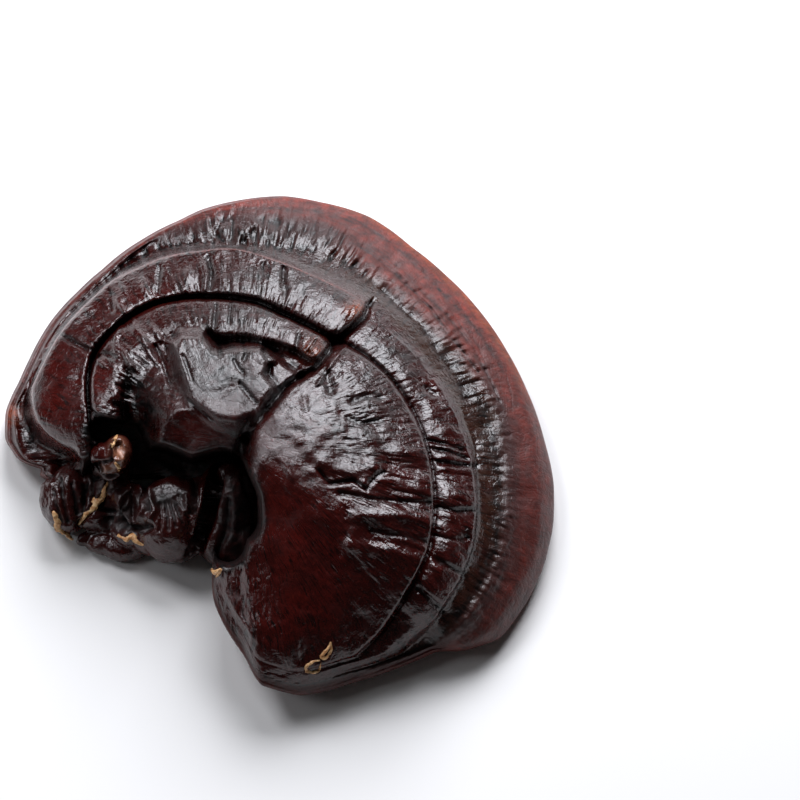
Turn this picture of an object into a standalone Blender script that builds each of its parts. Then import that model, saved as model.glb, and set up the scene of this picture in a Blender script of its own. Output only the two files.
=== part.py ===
"""A dried reishi mushroom: a domed, zoned cap lying rim down, with its short stem lying beside it.

The cap is a fan of growth zones round one hub. Each zone line is traced as picture pixels, and
the view that it was traced in turns a pixel and a height into a point in millimetres.
"""

import math

import bpy
import numpy as np

# Driving sizes, in millimetres
CAP_WIDTH = 150.0
DOME_TOP = 43.0
HUB_DEPTH = 5.0
UNDERSIDE_TOP = 19.0
RIM_ROUND = 3.0
JOINT_GAP = 0.3
MM = 0.001

# The view that the lines were traced in
PICTURE_CENTRE = 400.0
TRACED_CAP_WIDTH = 547.0
MM_PER_PIXEL = CAP_WIDTH / TRACED_CAP_WIDTH
VIEW_TILT = math.radians(55.0)
VIEW_DISTANCE = 2222.0 * MM_PER_PIXEL
VIEW_TARGET = (0.0, 0.0, 15.0)
ORIGIN_SHIFT = (34.2, 4.9)

# Fineness of the solids
SPOKES = 96
SOFTEN_DEGREES = (-2.0, -1.0, 0.0, 1.0, 2.0)
LEAST_GAP = 2.5
STEM_SIDES = 24
UNDERSIDE_SHARES = (0.94, 0.82, 0.64, 0.42, 0.2)

# The hub is where the crease, the central boss and the two halves of the fan meet
HUB = (235.0, 440.0)
CREASE_ANGLE = 45.0
NECK_ANGLE = 232.0

# Growth lines as traced, each from the left end of the fan clockwise round to the lower end
RIDGE_ONE_INNER = [
    (128, 440), (120, 410), (125, 385), (135, 362), (150, 350), (180, 334), (215, 343), (262, 345),
    (310, 362), (345, 390), (362, 430), (366, 480), (355, 540), (325, 590), (285, 610), (250, 590),
    (222, 540), (215, 480), (190, 462), (150, 465),
]
RIDGE_ONE_CREST = [
    (106, 448), (98, 412), (100, 390), (108, 368), (125, 350), (145, 335), (165, 322), (190, 316),
    (220, 316), (250, 318), (270, 322), (290, 332), (316, 350), (350, 372), (380, 405), (403, 450),
    (406, 500), (396, 555), (368, 605), (320, 645), (275, 650), (243, 620), (222, 560), (205, 490),
    (180, 470), (130, 470),
]
RIDGE_ONE_OUTER = [
    (90, 450), (85, 405), (84, 385), (90, 362), (102, 346), (120, 330), (140, 318), (160, 308),
    (180, 304), (210, 303), (240, 305), (260, 309), (280, 318), (300, 327), (328, 344), (360, 357),
    (380, 374), (403, 405), (422, 450), (428, 500), (424, 545), (401, 590), (376, 630), (338, 662),
    (298, 681), (262, 664), (234, 625), (216, 570),
]
GROOVE_ONE = [
    (84, 440), (80, 410), (78, 380), (84, 355), (96, 336), (110, 322), (122, 315), (135, 310),
    (150, 303), (170, 299), (210, 297), (240, 299), (260, 303), (280, 313), (300, 322), (320, 332),
    (340, 342), (362, 353), (384, 371), (408, 402), (428, 448), (435, 500), (430, 548), (407, 593),
    (381, 633), (342, 667), (300, 688), (257, 672), (230, 628), (214, 575),
]
RIDGE_TWO_CREST = [
    (68, 452), (60, 420), (57, 390), (62, 360), (75, 335), (95, 313), (115, 298), (140, 286),
    (170, 277), (200, 272), (240, 270), (270, 274), (300, 284), (320, 293), (350, 312), (380, 342),
    (402, 362), (424, 392), (444, 435), (456, 490), (452, 550), (430, 600), (398, 640), (352, 676),
]
LEDGE = [
    (56, 462), (42, 434), (33, 420), (30, 405), (32, 385), (37, 365), (45, 345), (62, 322), (80, 302),
    (100, 288), (120, 277), (140, 268), (160, 259), (180, 254), (200, 252), (220, 249), (240, 250),
    (255, 254), (270, 259), (290, 266), (310, 275), (330, 284), (362, 302), (395, 335), (410, 348),
    (430, 375), (455, 410), (472, 460), (477, 500), (474, 540), (460, 580), (437, 615), (400, 650),
    (352, 680),
]
BAND_THREE = [
    (40, 462), (28, 432), (24, 405), (27, 380), (37, 350), (54, 322), (74, 300), (96, 284),
    (120, 271), (150, 258), (180, 249), (210, 246), (240, 247), (270, 253), (300, 264), (330, 273),
    (370, 290), (402, 322), (425, 348), (450, 380), (470, 415), (484, 460), (488, 500), (484, 545),
    (468, 585), (444, 620), (405, 655), (354, 683),
]
GROOVE_LINE = [
    (33, 464), (22, 438), (18, 410), (22, 380), (33, 350), (50, 320), (70, 297), (92, 281),
    (118, 266), (150, 253), (180, 245), (210, 242), (240, 242), (280, 246), (310, 251), (330, 256),
    (365, 275), (405, 310), (440, 342), (465, 372), (488, 420), (498, 460), (499, 500), (496, 545),
    (478, 588), (452, 624), (410, 658), (355, 685),
]
WRINKLED_CREST = [
    (30, 468), (17, 444), (14, 415), (18, 385), (29, 352), (45, 322), (64, 300), (85, 282),
    (112, 262), (145, 246), (180, 236), (210, 230), (240, 228), (280, 230), (330, 240), (365, 258),
    (400, 285), (435, 318), (465, 350), (490, 388), (503, 425), (509, 465), (509, 500), (506, 545),
    (488, 590), (462, 625), (420, 657), (357, 686),
]
RIM_LINE = [
    (27, 470), (12, 445), (10, 415), (15, 385), (27, 350), (42, 325), (60, 302), (82, 284), (108, 266),
    (140, 243), (180, 225), (210, 215), (240, 210), (280, 212), (320, 218), (360, 235), (390, 257),
    (430, 300), (470, 340), (500, 390), (517, 450), (521, 500), (516, 545), (497, 595), (470, 631),
    (428, 653), (358, 687),
]
RIM_CREST = [
    (29, 473), (8, 443), (7, 412), (12, 385), (24, 350), (38, 325), (57, 300), (80, 280), (105, 261),
    (145, 233), (180, 217), (210, 207), (240, 202), (285, 199), (325, 206), (365, 220), (400, 246),
    (445, 288), (482, 330), (515, 385), (536, 450), (539, 500), (535, 550), (513, 600), (480, 639),
    (432, 655), (359, 688),
]
OUTLINE = [
    (60, 478), (35, 476), (20, 462), (5, 440), (6, 410), (20, 380), (30, 358), (52, 320), (80, 290),
    (105, 268), (145, 238), (180, 220), (200, 210), (240, 200), (285, 196), (320, 202), (355, 212),
    (380, 221), (410, 248), (445, 275), (475, 306), (505, 349), (525, 388), (543, 440), (552, 480),
    (552, 525), (543, 565), (527, 600), (500, 638), (465, 651), (437, 651), (400, 667), (355, 682),
    (302, 696), (258, 684), (246, 658), (224, 625), (213, 600), (211, 575), (224, 540), (222, 500),
    (200, 479), (150, 478), (100, 479),
]

# Each line with its relief in millimetres over the smooth dome, in the left and the right half
GROWTH_LINES = [
    (RIDGE_ONE_INNER, -2.0, 0.3),
    (RIDGE_ONE_CREST, 1.6, 0.8),
    (RIDGE_ONE_OUTER, 0.6, 0.2),
    (GROOVE_ONE, -3.2, -2.2),
    (RIDGE_TWO_CREST, 2.6, 0.6),
    (LEDGE, 1.6, -0.4),
    (BAND_THREE, -1.6, -0.9),
    (GROOVE_LINE, -1.8, -1.6),
    (WRINKLED_CREST, -0.2, 0.3),
    (RIM_LINE, -0.4, -0.2),
    (RIM_CREST, 0.5, 1.0),
    (OUTLINE, 0.0, 0.0),
]

# Height in millimetres at an angle round the hub: of the outline, of the foot of the rim
OUTLINE_HEIGHT = [
    (190, 5), (160, 7), (125, 11), (90, 15), (60, 15), (25, 11), (-10, 8), (-40, 7), (-75, 6),
    (-92, 9), (-103, 14), (-128, 16), (-150, 8),
]
RIM_FOOT = [
    (190, -0.4), (160, 0.5), (125, 4), (90, 5), (60, 4), (25, 0), (0, -0.4), (-35, 1), (-70, -0.4),
    (-92, 3), (-110, 6), (-128, 7), (-150, 2),
]

# Swellings of the dome and hollows in it: column, row, reach in pixels, height in millimetres
SWELLINGS = [
    (222, 376, 34, 2.5), (60, 398, 22, 3.0), (100, 385, 15, 2.5), (138, 425, 24, -9.0),
    (150, 455, 18, -6.0), (240, 470, 16, -5.0), (330, 430, 50, 1.5),
]

# The stem as traced: a column of the picture, the rows of its top and bottom edges there, and the
# height of its middle
STEM_STATIONS = [
    (46, 497, 511, 8.5), (50, 485, 523, 8.3), (60, 474, 534, 8.2), (75, 464, 541, 8.8),
    (95, 460, 548, 9.8), (115, 462, 552, 10.2), (145, 473, 561, 10.4), (170, 474, 566, 11.1),
    (200, 473, 567, 11.4), (228, 472, 563, 11.2), (246, 480, 553, 11.5), (256, 492, 541, 12.0),
    (261, 508, 525, 12.5),
]
STEM_FLATTEN = 0.9


def clear_scene():
    for old in list(bpy.data.objects):
        bpy.data.objects.remove(old)


def point_at(column, row, height):
    """The points in millimetres that the traced view shows at these pixels, at these heights."""
    across = (column - PICTURE_CENTRE) / (VIEW_DISTANCE / MM_PER_PIXEL)
    upward = (PICTURE_CENTRE - row) / (VIEW_DISTANCE / MM_PER_PIXEL)
    ahead = math.cos(VIEW_TILT) + upward * math.sin(VIEW_TILT)
    fall = math.sin(VIEW_TILT) - upward * math.cos(VIEW_TILT)
    eye_y = VIEW_TARGET[1] - VIEW_DISTANCE * math.cos(VIEW_TILT)
    eye_z = VIEW_TARGET[2] + VIEW_DISTANCE * math.sin(VIEW_TILT)
    reach = (eye_z - height) / fall
    x = VIEW_TARGET[0] + reach * across + ORIGIN_SHIFT[0]
    y = eye_y + reach * ahead + ORIGIN_SHIFT[1]
    return np.stack([x, y, height + np.zeros_like(x)], axis=-1)


def radius_of(line, angles):
    """How far a traced line is from the hub at each angle, in pixels, with its corners softened."""
    columns, rows = np.array(line, float).T
    known = np.degrees(np.arctan2(HUB[1] - rows, columns - HUB[0]))
    radii = np.hypot(columns - HUB[0], HUB[1] - rows)
    samples = [np.interp(angles + step, known, radii, period=360.0) for step in SOFTEN_DEGREES]
    return np.mean(samples, axis=0)


def value_round(table, angles):
    known, values = np.array(table, float).T
    return np.interp(angles, known, values, period=360.0)


def left_half(angles):
    """1 from the crease anticlockwise to the neck, 0 in the right half, with short slopes between."""
    past_crease = np.clip((angles - CREASE_ANGLE) / 5.0 + 0.5, 0.0, 1.0)
    before_neck = np.clip((NECK_ANGLE - angles) / 5.0 + 0.5, 0.0, 1.0)
    return past_crease * before_neck


def swelling(columns, rows):
    """How much the swellings and hollows add to the dome at these pixels."""
    total = np.zeros_like(columns)
    for column, row, reach, height in SWELLINGS:
        away = ((columns - column) ** 2 + (rows - row) ** 2) / reach**2
        total += height * np.exp(-away)
    return total


def dome_share(share):
    """Height of the smooth dome from 0 at the outline to 1 at its top, a little out from the hub."""
    return 1.0 - np.clip((share - 0.15) / 0.85, 0.0, 1.0) ** 2.2


def cap_rows():
    """The cap's surface as rows of points, from beside the hub over the rim and back underneath."""
    angles = 180.0 - (np.arange(SPOKES) + 0.5) * 360.0 / SPOKES
    turned = np.where(angles < NECK_ANGLE - 360.0, angles + 360.0, angles)
    side = left_half(turned)
    radii = [radius_of(line, angles) for line, _, _ in GROWTH_LINES]
    outline = radii[-1]
    for inner, outer in zip(range(len(radii) - 2, -1, -1), range(len(radii) - 1, 0, -1)):
        radii[inner] = np.minimum(radii[inner], radii[outer] - LEAST_GAP)
    reliefs = [left * side + right * (1.0 - side) for _, left, right in GROWTH_LINES]
    radii = [radii[0] * 0.35, radii[0] * 0.7] + radii
    reliefs = [np.full(SPOKES, -HUB_DEPTH * 0.6), np.full(SPOKES, -0.5)] + reliefs
    edge = value_round(OUTLINE_HEIGHT, angles)
    cos, sin = np.cos(np.radians(angles)), np.sin(np.radians(angles))
    rows = []
    for radius, relief in zip(radii, reliefs):
        column, row = HUB[0] + radius * cos, HUB[1] - radius * sin
        height = edge + (DOME_TOP - edge) * dome_share(radius / outline) + relief
        height += swelling(column, row) * np.clip((1.0 - radius / outline) * 8.0, 0.0, 1.0)
        rows.append(point_at(column, row, height))
    return rows + underside_rows(rows[-1], value_round(RIM_FOOT, angles))


def hub_point(height):
    return point_at(HUB[0], HUB[1], height)[None]


def outward(row):
    """Unit directions out from a ring of points, level with the floor."""
    along = np.roll(row, -1, axis=0) - np.roll(row, 1, axis=0)
    normal = np.stack([-along[:, 1], along[:, 0], np.zeros(len(row))], axis=-1)
    return normal / np.linalg.norm(normal, axis=1)[:, None]


def underside_rows(rim, foot):
    """The rounded outside of the rim, its foot and the pore surface, hollow towards the hub."""
    out = outward(rim)
    swell = 0.4 + RIM_ROUND * np.clip(out[:, 1], 0.0, 1.0)[:, None]
    middle = rim + out * swell
    middle[:, 2] = 0.45 * rim[:, 2] + 0.55 * np.maximum(foot, 0.0)
    tuck = rim + out * (swell - 1.5)
    tuck[:, 2] = np.maximum(foot, 0.0)
    rows = [middle, tuck]
    centre = hub_point(UNDERSIDE_TOP)
    for share in UNDERSIDE_SHARES:
        row = centre + (tuck - centre) * share
        row[:, 2] = np.maximum(foot + (UNDERSIDE_TOP - foot) * (1.0 - share**2.6), 0.0)
        rows.append(row)
    return rows


def stem_rows(extra):
    """Rings of the stem from its torn end to the end inside the cap, fatter by extra all round."""
    turn = np.arange(STEM_SIDES) * 2.0 * math.pi / STEM_SIDES
    rows = []
    for column, top, bottom, middle in STEM_STATIONS:
        half = (bottom - top) / 2.0 * MM_PER_PIXEL
        depth = half / math.hypot(math.sin(VIEW_TILT), STEM_FLATTEN * math.cos(VIEW_TILT))
        ring = np.zeros((STEM_SIDES, 3)) + point_at(column, (top + bottom) / 2.0, middle)
        ring[:, 1] += (depth + extra) * np.cos(turn)
        ring[:, 2] += (depth * STEM_FLATTEN + extra) * np.sin(turn)
        ring[:, 2] = np.maximum(ring[:, 2], -extra)
        rows.append(ring)
    return rows


def closed_mesh(name, rows, first, last):
    """A closed mesh from rings of points, with a point at each end."""
    count = len(rows[0])
    points = np.concatenate([first, *rows, last]) * MM
    faces = []
    for ring in range(len(rows) - 1):
        start = 1 + ring * count
        for i in range(count):
            j = (i + 1) % count
            faces.append((start + i, start + j, start + count + j, start + count + i))
    tail = 1 + (len(rows) - 1) * count
    for i in range(count):
        j = (i + 1) % count
        faces.append((0, 1 + j, 1 + i))
        faces.append((tail + i, tail + j, len(points) - 1))
    mesh = bpy.data.meshes.new(name)
    mesh.from_pydata(points.tolist(), [], faces)
    mesh.validate()
    mesh.update()
    mesh.shade_smooth()
    return mesh


def material(name, colour, roughness):
    made = bpy.data.materials.new(name)
    made.use_nodes = True
    shader = made.node_tree.nodes["Principled BSDF"]
    shader.inputs["Base Color"].default_value = (*colour, 1.0)
    shader.inputs["Roughness"].default_value = roughness
    shader.inputs["Metallic"].default_value = 0.0
    return made


def add_object(name, mesh, finish):
    made = bpy.data.objects.new(name, mesh)
    bpy.context.scene.collection.objects.link(made)
    mesh.materials.append(finish)
    return made


def make_stem_mesh(name, extra):
    rows = stem_rows(extra)
    reach = np.array([1.0 + extra, 0.0, 0.0])
    first = rows[0].mean(axis=0) - reach
    last = rows[-1].mean(axis=0) + reach
    return closed_mesh(name, rows, first[None], last[None])


def make_stem():
    crust = material("stem crust", (0.035, 0.010, 0.007), 0.25)
    return add_object("stem", make_stem_mesh("stem", 0.0), crust)


def make_stem_seat():
    """The space that the stem fills in the cap, a gap wider than the stem all round."""
    seat = add_object("stem_seat", make_stem_mesh("stem_seat", JOINT_GAP), material("guide", (1, 1, 1), 1))
    seat.hide_render = True
    seat.display_type = "WIRE"
    return seat


def make_cap(seat):
    crust = material("cap crust", (0.060, 0.014, 0.010), 0.25)
    mesh = closed_mesh("cap", cap_rows(), hub_point(DOME_TOP - HUB_DEPTH), hub_point(UNDERSIDE_TOP))
    cap = add_object("cap", mesh, crust)
    cut = cap.modifiers.new("stem seat", "BOOLEAN")
    cut.operation = "DIFFERENCE"
    cut.solver = "EXACT"
    cut.object = seat
    return cap


clear_scene()
make_stem()
make_cap(make_stem_seat())
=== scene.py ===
import math

import bmesh
import bpy
import numpy as np
from mathutils import Euler, Matrix, Vector, noise
from mathutils.bvhtree import BVHTree


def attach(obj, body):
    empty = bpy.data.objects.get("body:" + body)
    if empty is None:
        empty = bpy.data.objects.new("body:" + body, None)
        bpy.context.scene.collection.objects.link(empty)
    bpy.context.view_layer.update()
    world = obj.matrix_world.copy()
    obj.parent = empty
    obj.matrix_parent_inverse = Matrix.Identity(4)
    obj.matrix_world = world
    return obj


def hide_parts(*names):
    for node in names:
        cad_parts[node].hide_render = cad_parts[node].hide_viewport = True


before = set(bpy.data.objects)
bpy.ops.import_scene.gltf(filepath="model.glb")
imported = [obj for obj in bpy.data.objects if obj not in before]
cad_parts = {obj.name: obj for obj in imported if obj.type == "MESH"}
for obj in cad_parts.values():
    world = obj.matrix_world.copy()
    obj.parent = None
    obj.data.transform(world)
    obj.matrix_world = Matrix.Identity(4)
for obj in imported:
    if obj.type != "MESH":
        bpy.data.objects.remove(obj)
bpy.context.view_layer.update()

# The part's own sizes, in millimetres
MM = 0.001
CAP_WIDTH = 150.0
DOME_TOP = 43.0
UNDERSIDE_TOP = 19.0
PORE_LAYER = 1.2

# The view that its growth lines are traced in, where the cap is 547 pixels wide
PICTURE_SIZE = 800.0
PICTURE_CENTRE = PICTURE_SIZE / 2.0
FOCAL_PIXELS = 2222.0
MM_PER_PIXEL = CAP_WIDTH / 547.0
VIEW_TILT = math.radians(55.0)
VIEW_DISTANCE = FOCAL_PIXELS * MM_PER_PIXEL
VIEW_TARGET = (34.2, 4.9, 15.0)
EYE = (
    VIEW_TARGET[0],
    VIEW_TARGET[1] - VIEW_DISTANCE * math.cos(VIEW_TILT),
    VIEW_TARGET[2] + VIEW_DISTANCE * math.sin(VIEW_TILT),
)

# The hub that the cap grew out from, and the angle round it where the spokes of its mesh start
HUB = (235.0, 440.0)
NECK_ANGLE = 232.0

# The cap's mesh: its spokes at the rim, and the rows from one growth line to the next. A quarter
# of the spokes reach the first rows round the hub, and half of them the next ones.
SPOKES = 900
TURN_STEPS = 2001
QUARTER_ROWS = 14
HALF_ROWS = 38
TOP_ROWS = (8, 16, 14, 5, 6, 8, 6, 4, 5, 6, 7, 3, 4, 4, 5, 7, 6, 4)
RIM_ROWS = (3, 3)
PORE_ROWS = (2, 3, 5, 5, 5, 4)

# Growth lines, each from the left end of the fan clockwise round to the lower end, with the
# relief in millimetres over the smooth dome at angles round the hub. A line that isn't traced is
# a share of the way from one named line to another.
GROWTH_LINES = {
    "ridge one inner": ([
        (130, 440), (123, 410), (127, 385), (137, 364), (152, 350), (180, 334), (215, 343),
        (262, 345), (310, 362), (345, 390), (362, 430), (366, 480), (355, 540), (325, 590),
        (285, 610), (250, 590), (222, 540), (215, 480), (190, 462), (150, 465),
    ], [
        (190, -3.3), (185, -4.5), (180, -5.6), (175, -5.8), (170, -5.7), (165, -3.4), (160, -0.7),
        (150, 1.1), (140, 2.3), (130, 2), (110, -0.1), (100, -1.6), (88, -2), (75, -1.5), (60, -2),
        (45.8, -2.8), (43.8, 0), (10, 0.5), (-5, 1.3), (-32, 1.3), (-60, 0), (-150, 0),
    ]),
    "ridge one shoulder": (("ridge one inner", "ridge one crest", 0.38), [
        (190, -1.9), (185, -2.3), (180, -1.4), (175, -0.4), (170, 0.5), (165, 1.5), (160, 2.2),
        (150, 2.3), (140, 3.3), (130, 3.3), (110, 2.6), (90, 2), (60, 2), (45.8, 1.8), (43.8, 0.2),
        (-5, 1.2), (-32, 1.2), (-60, 0.2), (-90, 0), (-150, 0),
    ]),
    "ridge one crest": ([
        (111, 448), (106, 412), (107, 390), (113, 370), (127, 351), (146, 336), (165, 323),
        (190, 316), (220, 316), (250, 318), (270, 322), (290, 332), (316, 350), (350, 372),
        (380, 405), (403, 450), (406, 500), (396, 555), (368, 605), (320, 645), (275, 650),
        (243, 620), (222, 560), (205, 490), (180, 470), (130, 470),
    ], [
        (190, -0.3), (185, -0.4), (180, -0.5), (175, 0.4), (170, 1.3), (165, 2.5), (160, 3.5),
        (150, 4.5), (140, 4.9), (130, 4.6), (110, 3.6), (90, 2.8), (60, 2.8), (45.8, 2.6),
        (43.8, 0.5), (-5, 1.8), (-32, 1.8), (-60, 0.5), (-80, 0.5), (-150, 0),
    ]),
    "ridge one outer": ([
        (97, 450), (93, 415), (91, 388), (95, 366), (104, 350), (120, 332), (140, 318), (160, 308),
        (180, 304), (210, 303), (240, 305), (260, 309), (280, 318), (300, 327), (328, 344),
        (360, 357), (382, 373), (405, 404), (425, 449), (432, 500), (427, 546), (404, 591),
        (378, 631), (340, 664), (298, 681), (262, 664), (234, 625), (216, 570),
    ], [
        (190, -1.1), (185, -1.3), (180, -0.6), (175, 1.5), (170, 2.8), (165, 4.1), (160, 5),
        (150, 5.4), (140, 5.2), (130, 4.8), (110, 3.2), (90, 2.6), (60, 2.6), (45.8, 2.4),
        (43.8, 0.8), (10, 0.9), (-5, 2.1), (-32, 2.1), (-70, 0.6), (-90, 0), (-150, 0),
    ]),
    "groove one": ([
        (92, 440), (89, 410), (87, 385), (90, 362), (98, 345), (108, 332), (120, 321), (135, 311),
        (150, 304), (170, 299), (210, 297), (240, 299), (260, 303), (280, 313), (300, 322),
        (320, 332), (340, 342), (362, 353), (384, 371), (408, 402), (428, 448), (435, 500),
        (430, 548), (407, 593), (381, 633), (342, 667), (300, 688), (257, 672), (230, 628),
        (214, 575),
    ], [
        (190, -3.9), (185, -5.9), (180, -7), (175, -6.4), (170, -5.7), (165, -4.3), (160, -2.9),
        (150, -1.5), (140, -1.3), (130, -1.3), (110, -2.9), (90, -3.7), (46, -4.6), (43.8, -2.4),
        (0, -1.8), (-35, -1.8), (-52, -1), (-62, 0), (-150, 0),
    ]),
    "ridge two shoulder": (("groove one", "ridge two crest", 0.17), [
        (190, -0.5), (185, -2.4), (180, -2.2), (175, 0.2), (170, 1.6), (165, 2.5), (160, 3.5),
        (150, 5.3), (140, 6.2), (130, 6.2), (110, 2.9), (90, 2), (46, 2), (43.8, -0.6), (0, -0.6),
        (-70, 0), (-150, 0),
    ]),
    "ridge two crest": ([
        (80, 452), (76, 425), (74, 395), (76, 370), (83, 350), (94, 331), (112, 314), (130, 299),
        (150, 288), (170, 279), (200, 272), (240, 270), (270, 274), (300, 284), (320, 293),
        (350, 312), (380, 342), (402, 362), (424, 392), (444, 435), (456, 490), (452, 550),
        (430, 600), (398, 640), (352, 676),
    ], [
        (190, 2.3), (185, -0.4), (180, -0.2), (175, 1.2), (170, 2.7), (165, 4.3), (160, 5.6),
        (150, 6.8), (140, 7.2), (130, 8), (110, 4.8), (90, 3.4), (60, 3.6), (46, 3.4), (43.8, 0.7),
        (0, 1.1), (-50, 1), (-75, 0), (-150, 0),
    ]),
    "ridge two outer": (("ridge two crest", "ledge", 0.93), [
        (190, -3.1), (185, -4), (180, -0.9), (175, 3.5), (170, 6.3), (165, 8.5), (160, 10),
        (150, 10.9), (140, 10.7), (130, 8.8), (110, 5.2), (90, 3.7), (60, 3), (46, 2.4), (43, 0.5),
        (0, 0.8), (-50, 0.5), (-75, 0), (-150, 0),
    ]),
    "ledge": ([
        (80, 463), (72, 452), (60, 444), (48, 435), (39, 425), (34, 413), (32, 400), (33, 385),
        (37, 365), (45, 345), (62, 322), (80, 302), (100, 288), (120, 277), (140, 268), (160, 259),
        (180, 254), (200, 252), (220, 249), (240, 250), (255, 254), (270, 259), (290, 266),
        (310, 275), (330, 284), (362, 302), (395, 335), (410, 348), (430, 375), (455, 410),
        (472, 460), (477, 500), (474, 540), (460, 580), (437, 615), (400, 650), (352, 680),
    ], [
        (190, -5), (185, -5.6), (180, -1.8), (175, 2.9), (170, 5.6), (165, 8.3), (160, 10),
        (150, 10.9), (140, 10.6), (130, 8.6), (110, 5), (90, 3.8), (60, 2.6), (46, 1.8), (43, 0.4),
        (0, 0.1), (-50, 0.1), (-75, 0), (-150, 0),
    ]),
    "band three": ([
        (62, 468), (64, 455), (54, 450), (42, 443), (32, 432), (27, 418), (26, 402), (28, 385),
        (34, 360), (40, 345), (54, 322), (74, 300), (96, 284), (120, 271), (150, 258), (180, 249),
        (210, 246), (240, 247), (270, 253), (300, 264), (330, 273), (370, 290), (402, 322),
        (425, 348), (450, 380), (464, 415), (478, 460), (482, 500), (479, 545), (464, 584),
        (440, 619), (403, 653), (354, 683),
    ], [
        (190, -4.8), (185, -9.9), (180, -5.5), (175, -2.3), (170, -0.5), (165, 1), (160, 1.9),
        (150, 1.9), (140, 1.2), (130, 1.2), (110, 0), (90, -1.3), (50, -0.8), (30, -0.9),
        (10, -1.5), (0, -1.6), (-45, -1.4), (-70, 0), (-150, 0),
    ]),
    "groove line": ([
        (33, 464), (22, 438), (18, 410), (22, 380), (33, 350), (50, 320), (70, 297), (92, 281),
        (118, 266), (150, 253), (180, 245), (210, 242), (240, 242), (280, 246), (310, 251),
        (330, 256), (365, 275), (405, 310), (440, 342), (465, 372), (488, 420), (498, 460),
        (499, 500), (496, 545), (478, 588), (452, 624), (410, 658), (355, 685),
    ], [
        (190, 2), (185, -1.4), (180, -1.9), (175, -0.7), (170, 0.3), (165, 1.6), (160, 2.2),
        (150, 1.6), (140, 0.9), (130, 0.7), (110, -1.5), (90, -1.8), (50, -1.4), (20, -0.9),
        (0, -0.4), (-45, -0.5), (-65, 0), (-150, 0),
    ]),
    "wrinkled crest": ([
        (30, 468), (17, 444), (14, 415), (18, 385), (29, 352), (45, 322), (64, 300), (85, 282),
        (112, 262), (145, 246), (180, 236), (210, 230), (240, 228), (280, 230), (330, 240),
        (365, 258), (400, 285), (435, 318), (465, 350), (490, 388), (503, 425), (509, 465),
        (509, 500), (506, 545), (488, 590), (462, 625), (420, 657), (357, 686),
    ], [
        (190, 0.3), (180, 0.8), (170, 2), (160, 2.2), (150, 1.9), (130, 1.6), (110, 0.5), (90, 0.2),
        (50, 0.3), (20, 0.6), (0, 0.8), (-40, 0.6), (-60, 0), (-150, 0),
    ]),
    "rim line": ([
        (27, 470), (12, 445), (10, 415), (15, 385), (27, 350), (42, 325), (60, 302), (82, 284),
        (108, 266), (140, 243), (180, 225), (210, 215), (240, 210), (280, 212), (320, 218),
        (360, 235), (390, 257), (430, 300), (470, 340), (500, 390), (517, 450), (521, 500),
        (516, 545), (497, 595), (470, 631), (428, 653), (358, 687),
    ], [
        (190, 0), (180, 0.3), (170, 1.2), (160, 1), (150, 0.9), (130, 2.2), (110, 2), (90, 1.2),
        (50, -0.2), (0, 0.8), (-40, 0.7), (-60, 0), (-150, 0),
    ]),
    "rim crest": ([
        (29, 473), (8, 443), (7, 412), (12, 385), (24, 350), (38, 325), (57, 300), (80, 280),
        (105, 261), (145, 233), (180, 217), (210, 207), (240, 202), (285, 199), (325, 206),
        (365, 220), (400, 246), (445, 288), (482, 330), (515, 385), (536, 450), (539, 500),
        (535, 550), (513, 600), (480, 639), (432, 655), (359, 688),
    ], [
        (190, 0.8), (180, 1.2), (170, 2.4), (160, 1.8), (150, 1.4), (130, 2.4), (110, 2.2),
        (90, 1.6), (50, 0.6), (0, 1.5), (-40, 1.3), (-60, 0.2), (-150, 0),
    ]),
    "outline": ([
        (60, 480), (47, 468), (34, 476), (20, 462), (5, 440), (6, 410), (20, 380), (30, 358),
        (52, 320), (80, 290), (105, 268), (145, 238), (180, 220), (200, 210), (240, 200),
        (285, 196), (320, 202), (352, 210), (370, 217), (389, 229), (410, 246), (445, 275),
        (475, 306), (505, 349), (525, 388), (543, 440), (552, 480), (552, 525), (543, 565),
        (527, 600), (500, 638), (465, 651), (437, 651), (400, 667), (355, 682), (302, 696),
        (258, 684), (246, 658), (224, 625), (213, 600), (211, 575), (214, 550), (217, 520),
        (220, 500), (200, 479), (150, 478), (100, 479),
    ], [(0, 0)]),
}

# The first rows round the hub, as shares of the way to the first growth line and of its relief
HUB_SHARES = (0.35, 0.7, 0.9)
HUB_RELIEF = 0.1
LEAST_GAP = 2.5  # pixels between two growth lines

# Degrees over which the corners of the traced lines, and those of the tables, are softened
LINE_SOFTNESS = np.linspace(-1.2, 1.2, 9)
TABLE_SOFTNESS = np.linspace(-0.6, 0.6, 5)

# How the dome falls at an angle round the hub: the straight share of its fall, the power of the
# rest. It is flat as far as this share of the way to the outline.
DOME_LEAN = [
    (190, 0.1), (150, 0.1), (120, 0.35), (60, 0.4), (45, 0.3), (0, 0.2), (-30, 0.3), (-55, 0.6),
    (-75, 0.7), (-88, 0.93), (-98, 1.0), (-125, 1.0), (-150, 0.3),
]
DOME_POWER = [
    (190, 2.4), (60, 2.1), (0, 2.1), (-40, 3.0), (-70, 5.0), (-90, 9.0), (-125, 9.0), (-150, 3.0),
]
DOME_FLAT = 0.05
RELIEF_FADE = 8.0  # folds and wrinkles fade out over the last eighth before the outline

# Height in millimetres at an angle round the hub: of the outline, of the foot of the rim
OUTLINE_HEIGHT = [
    (190, 5.5), (175, 7.5), (160, 8.5), (125, 11), (90, 15), (60, 15), (25, 11), (-5, 7),
    (-30, 4.5), (-50, 4.5), (-65, 5), (-75, 6), (-88, 13), (-98, 17), (-110, 18), (-128, 18),
    (-150, 8),
]
RIM_FOOT = [
    (190, -0.4), (160, 0.5), (125, 4), (90, 5), (60, 4), (25, 0), (0, -0.4), (-35, 0.8),
    (-70, -0.4), (-92, 2), (-110, 5), (-128, 7), (-150, 2),
]

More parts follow.
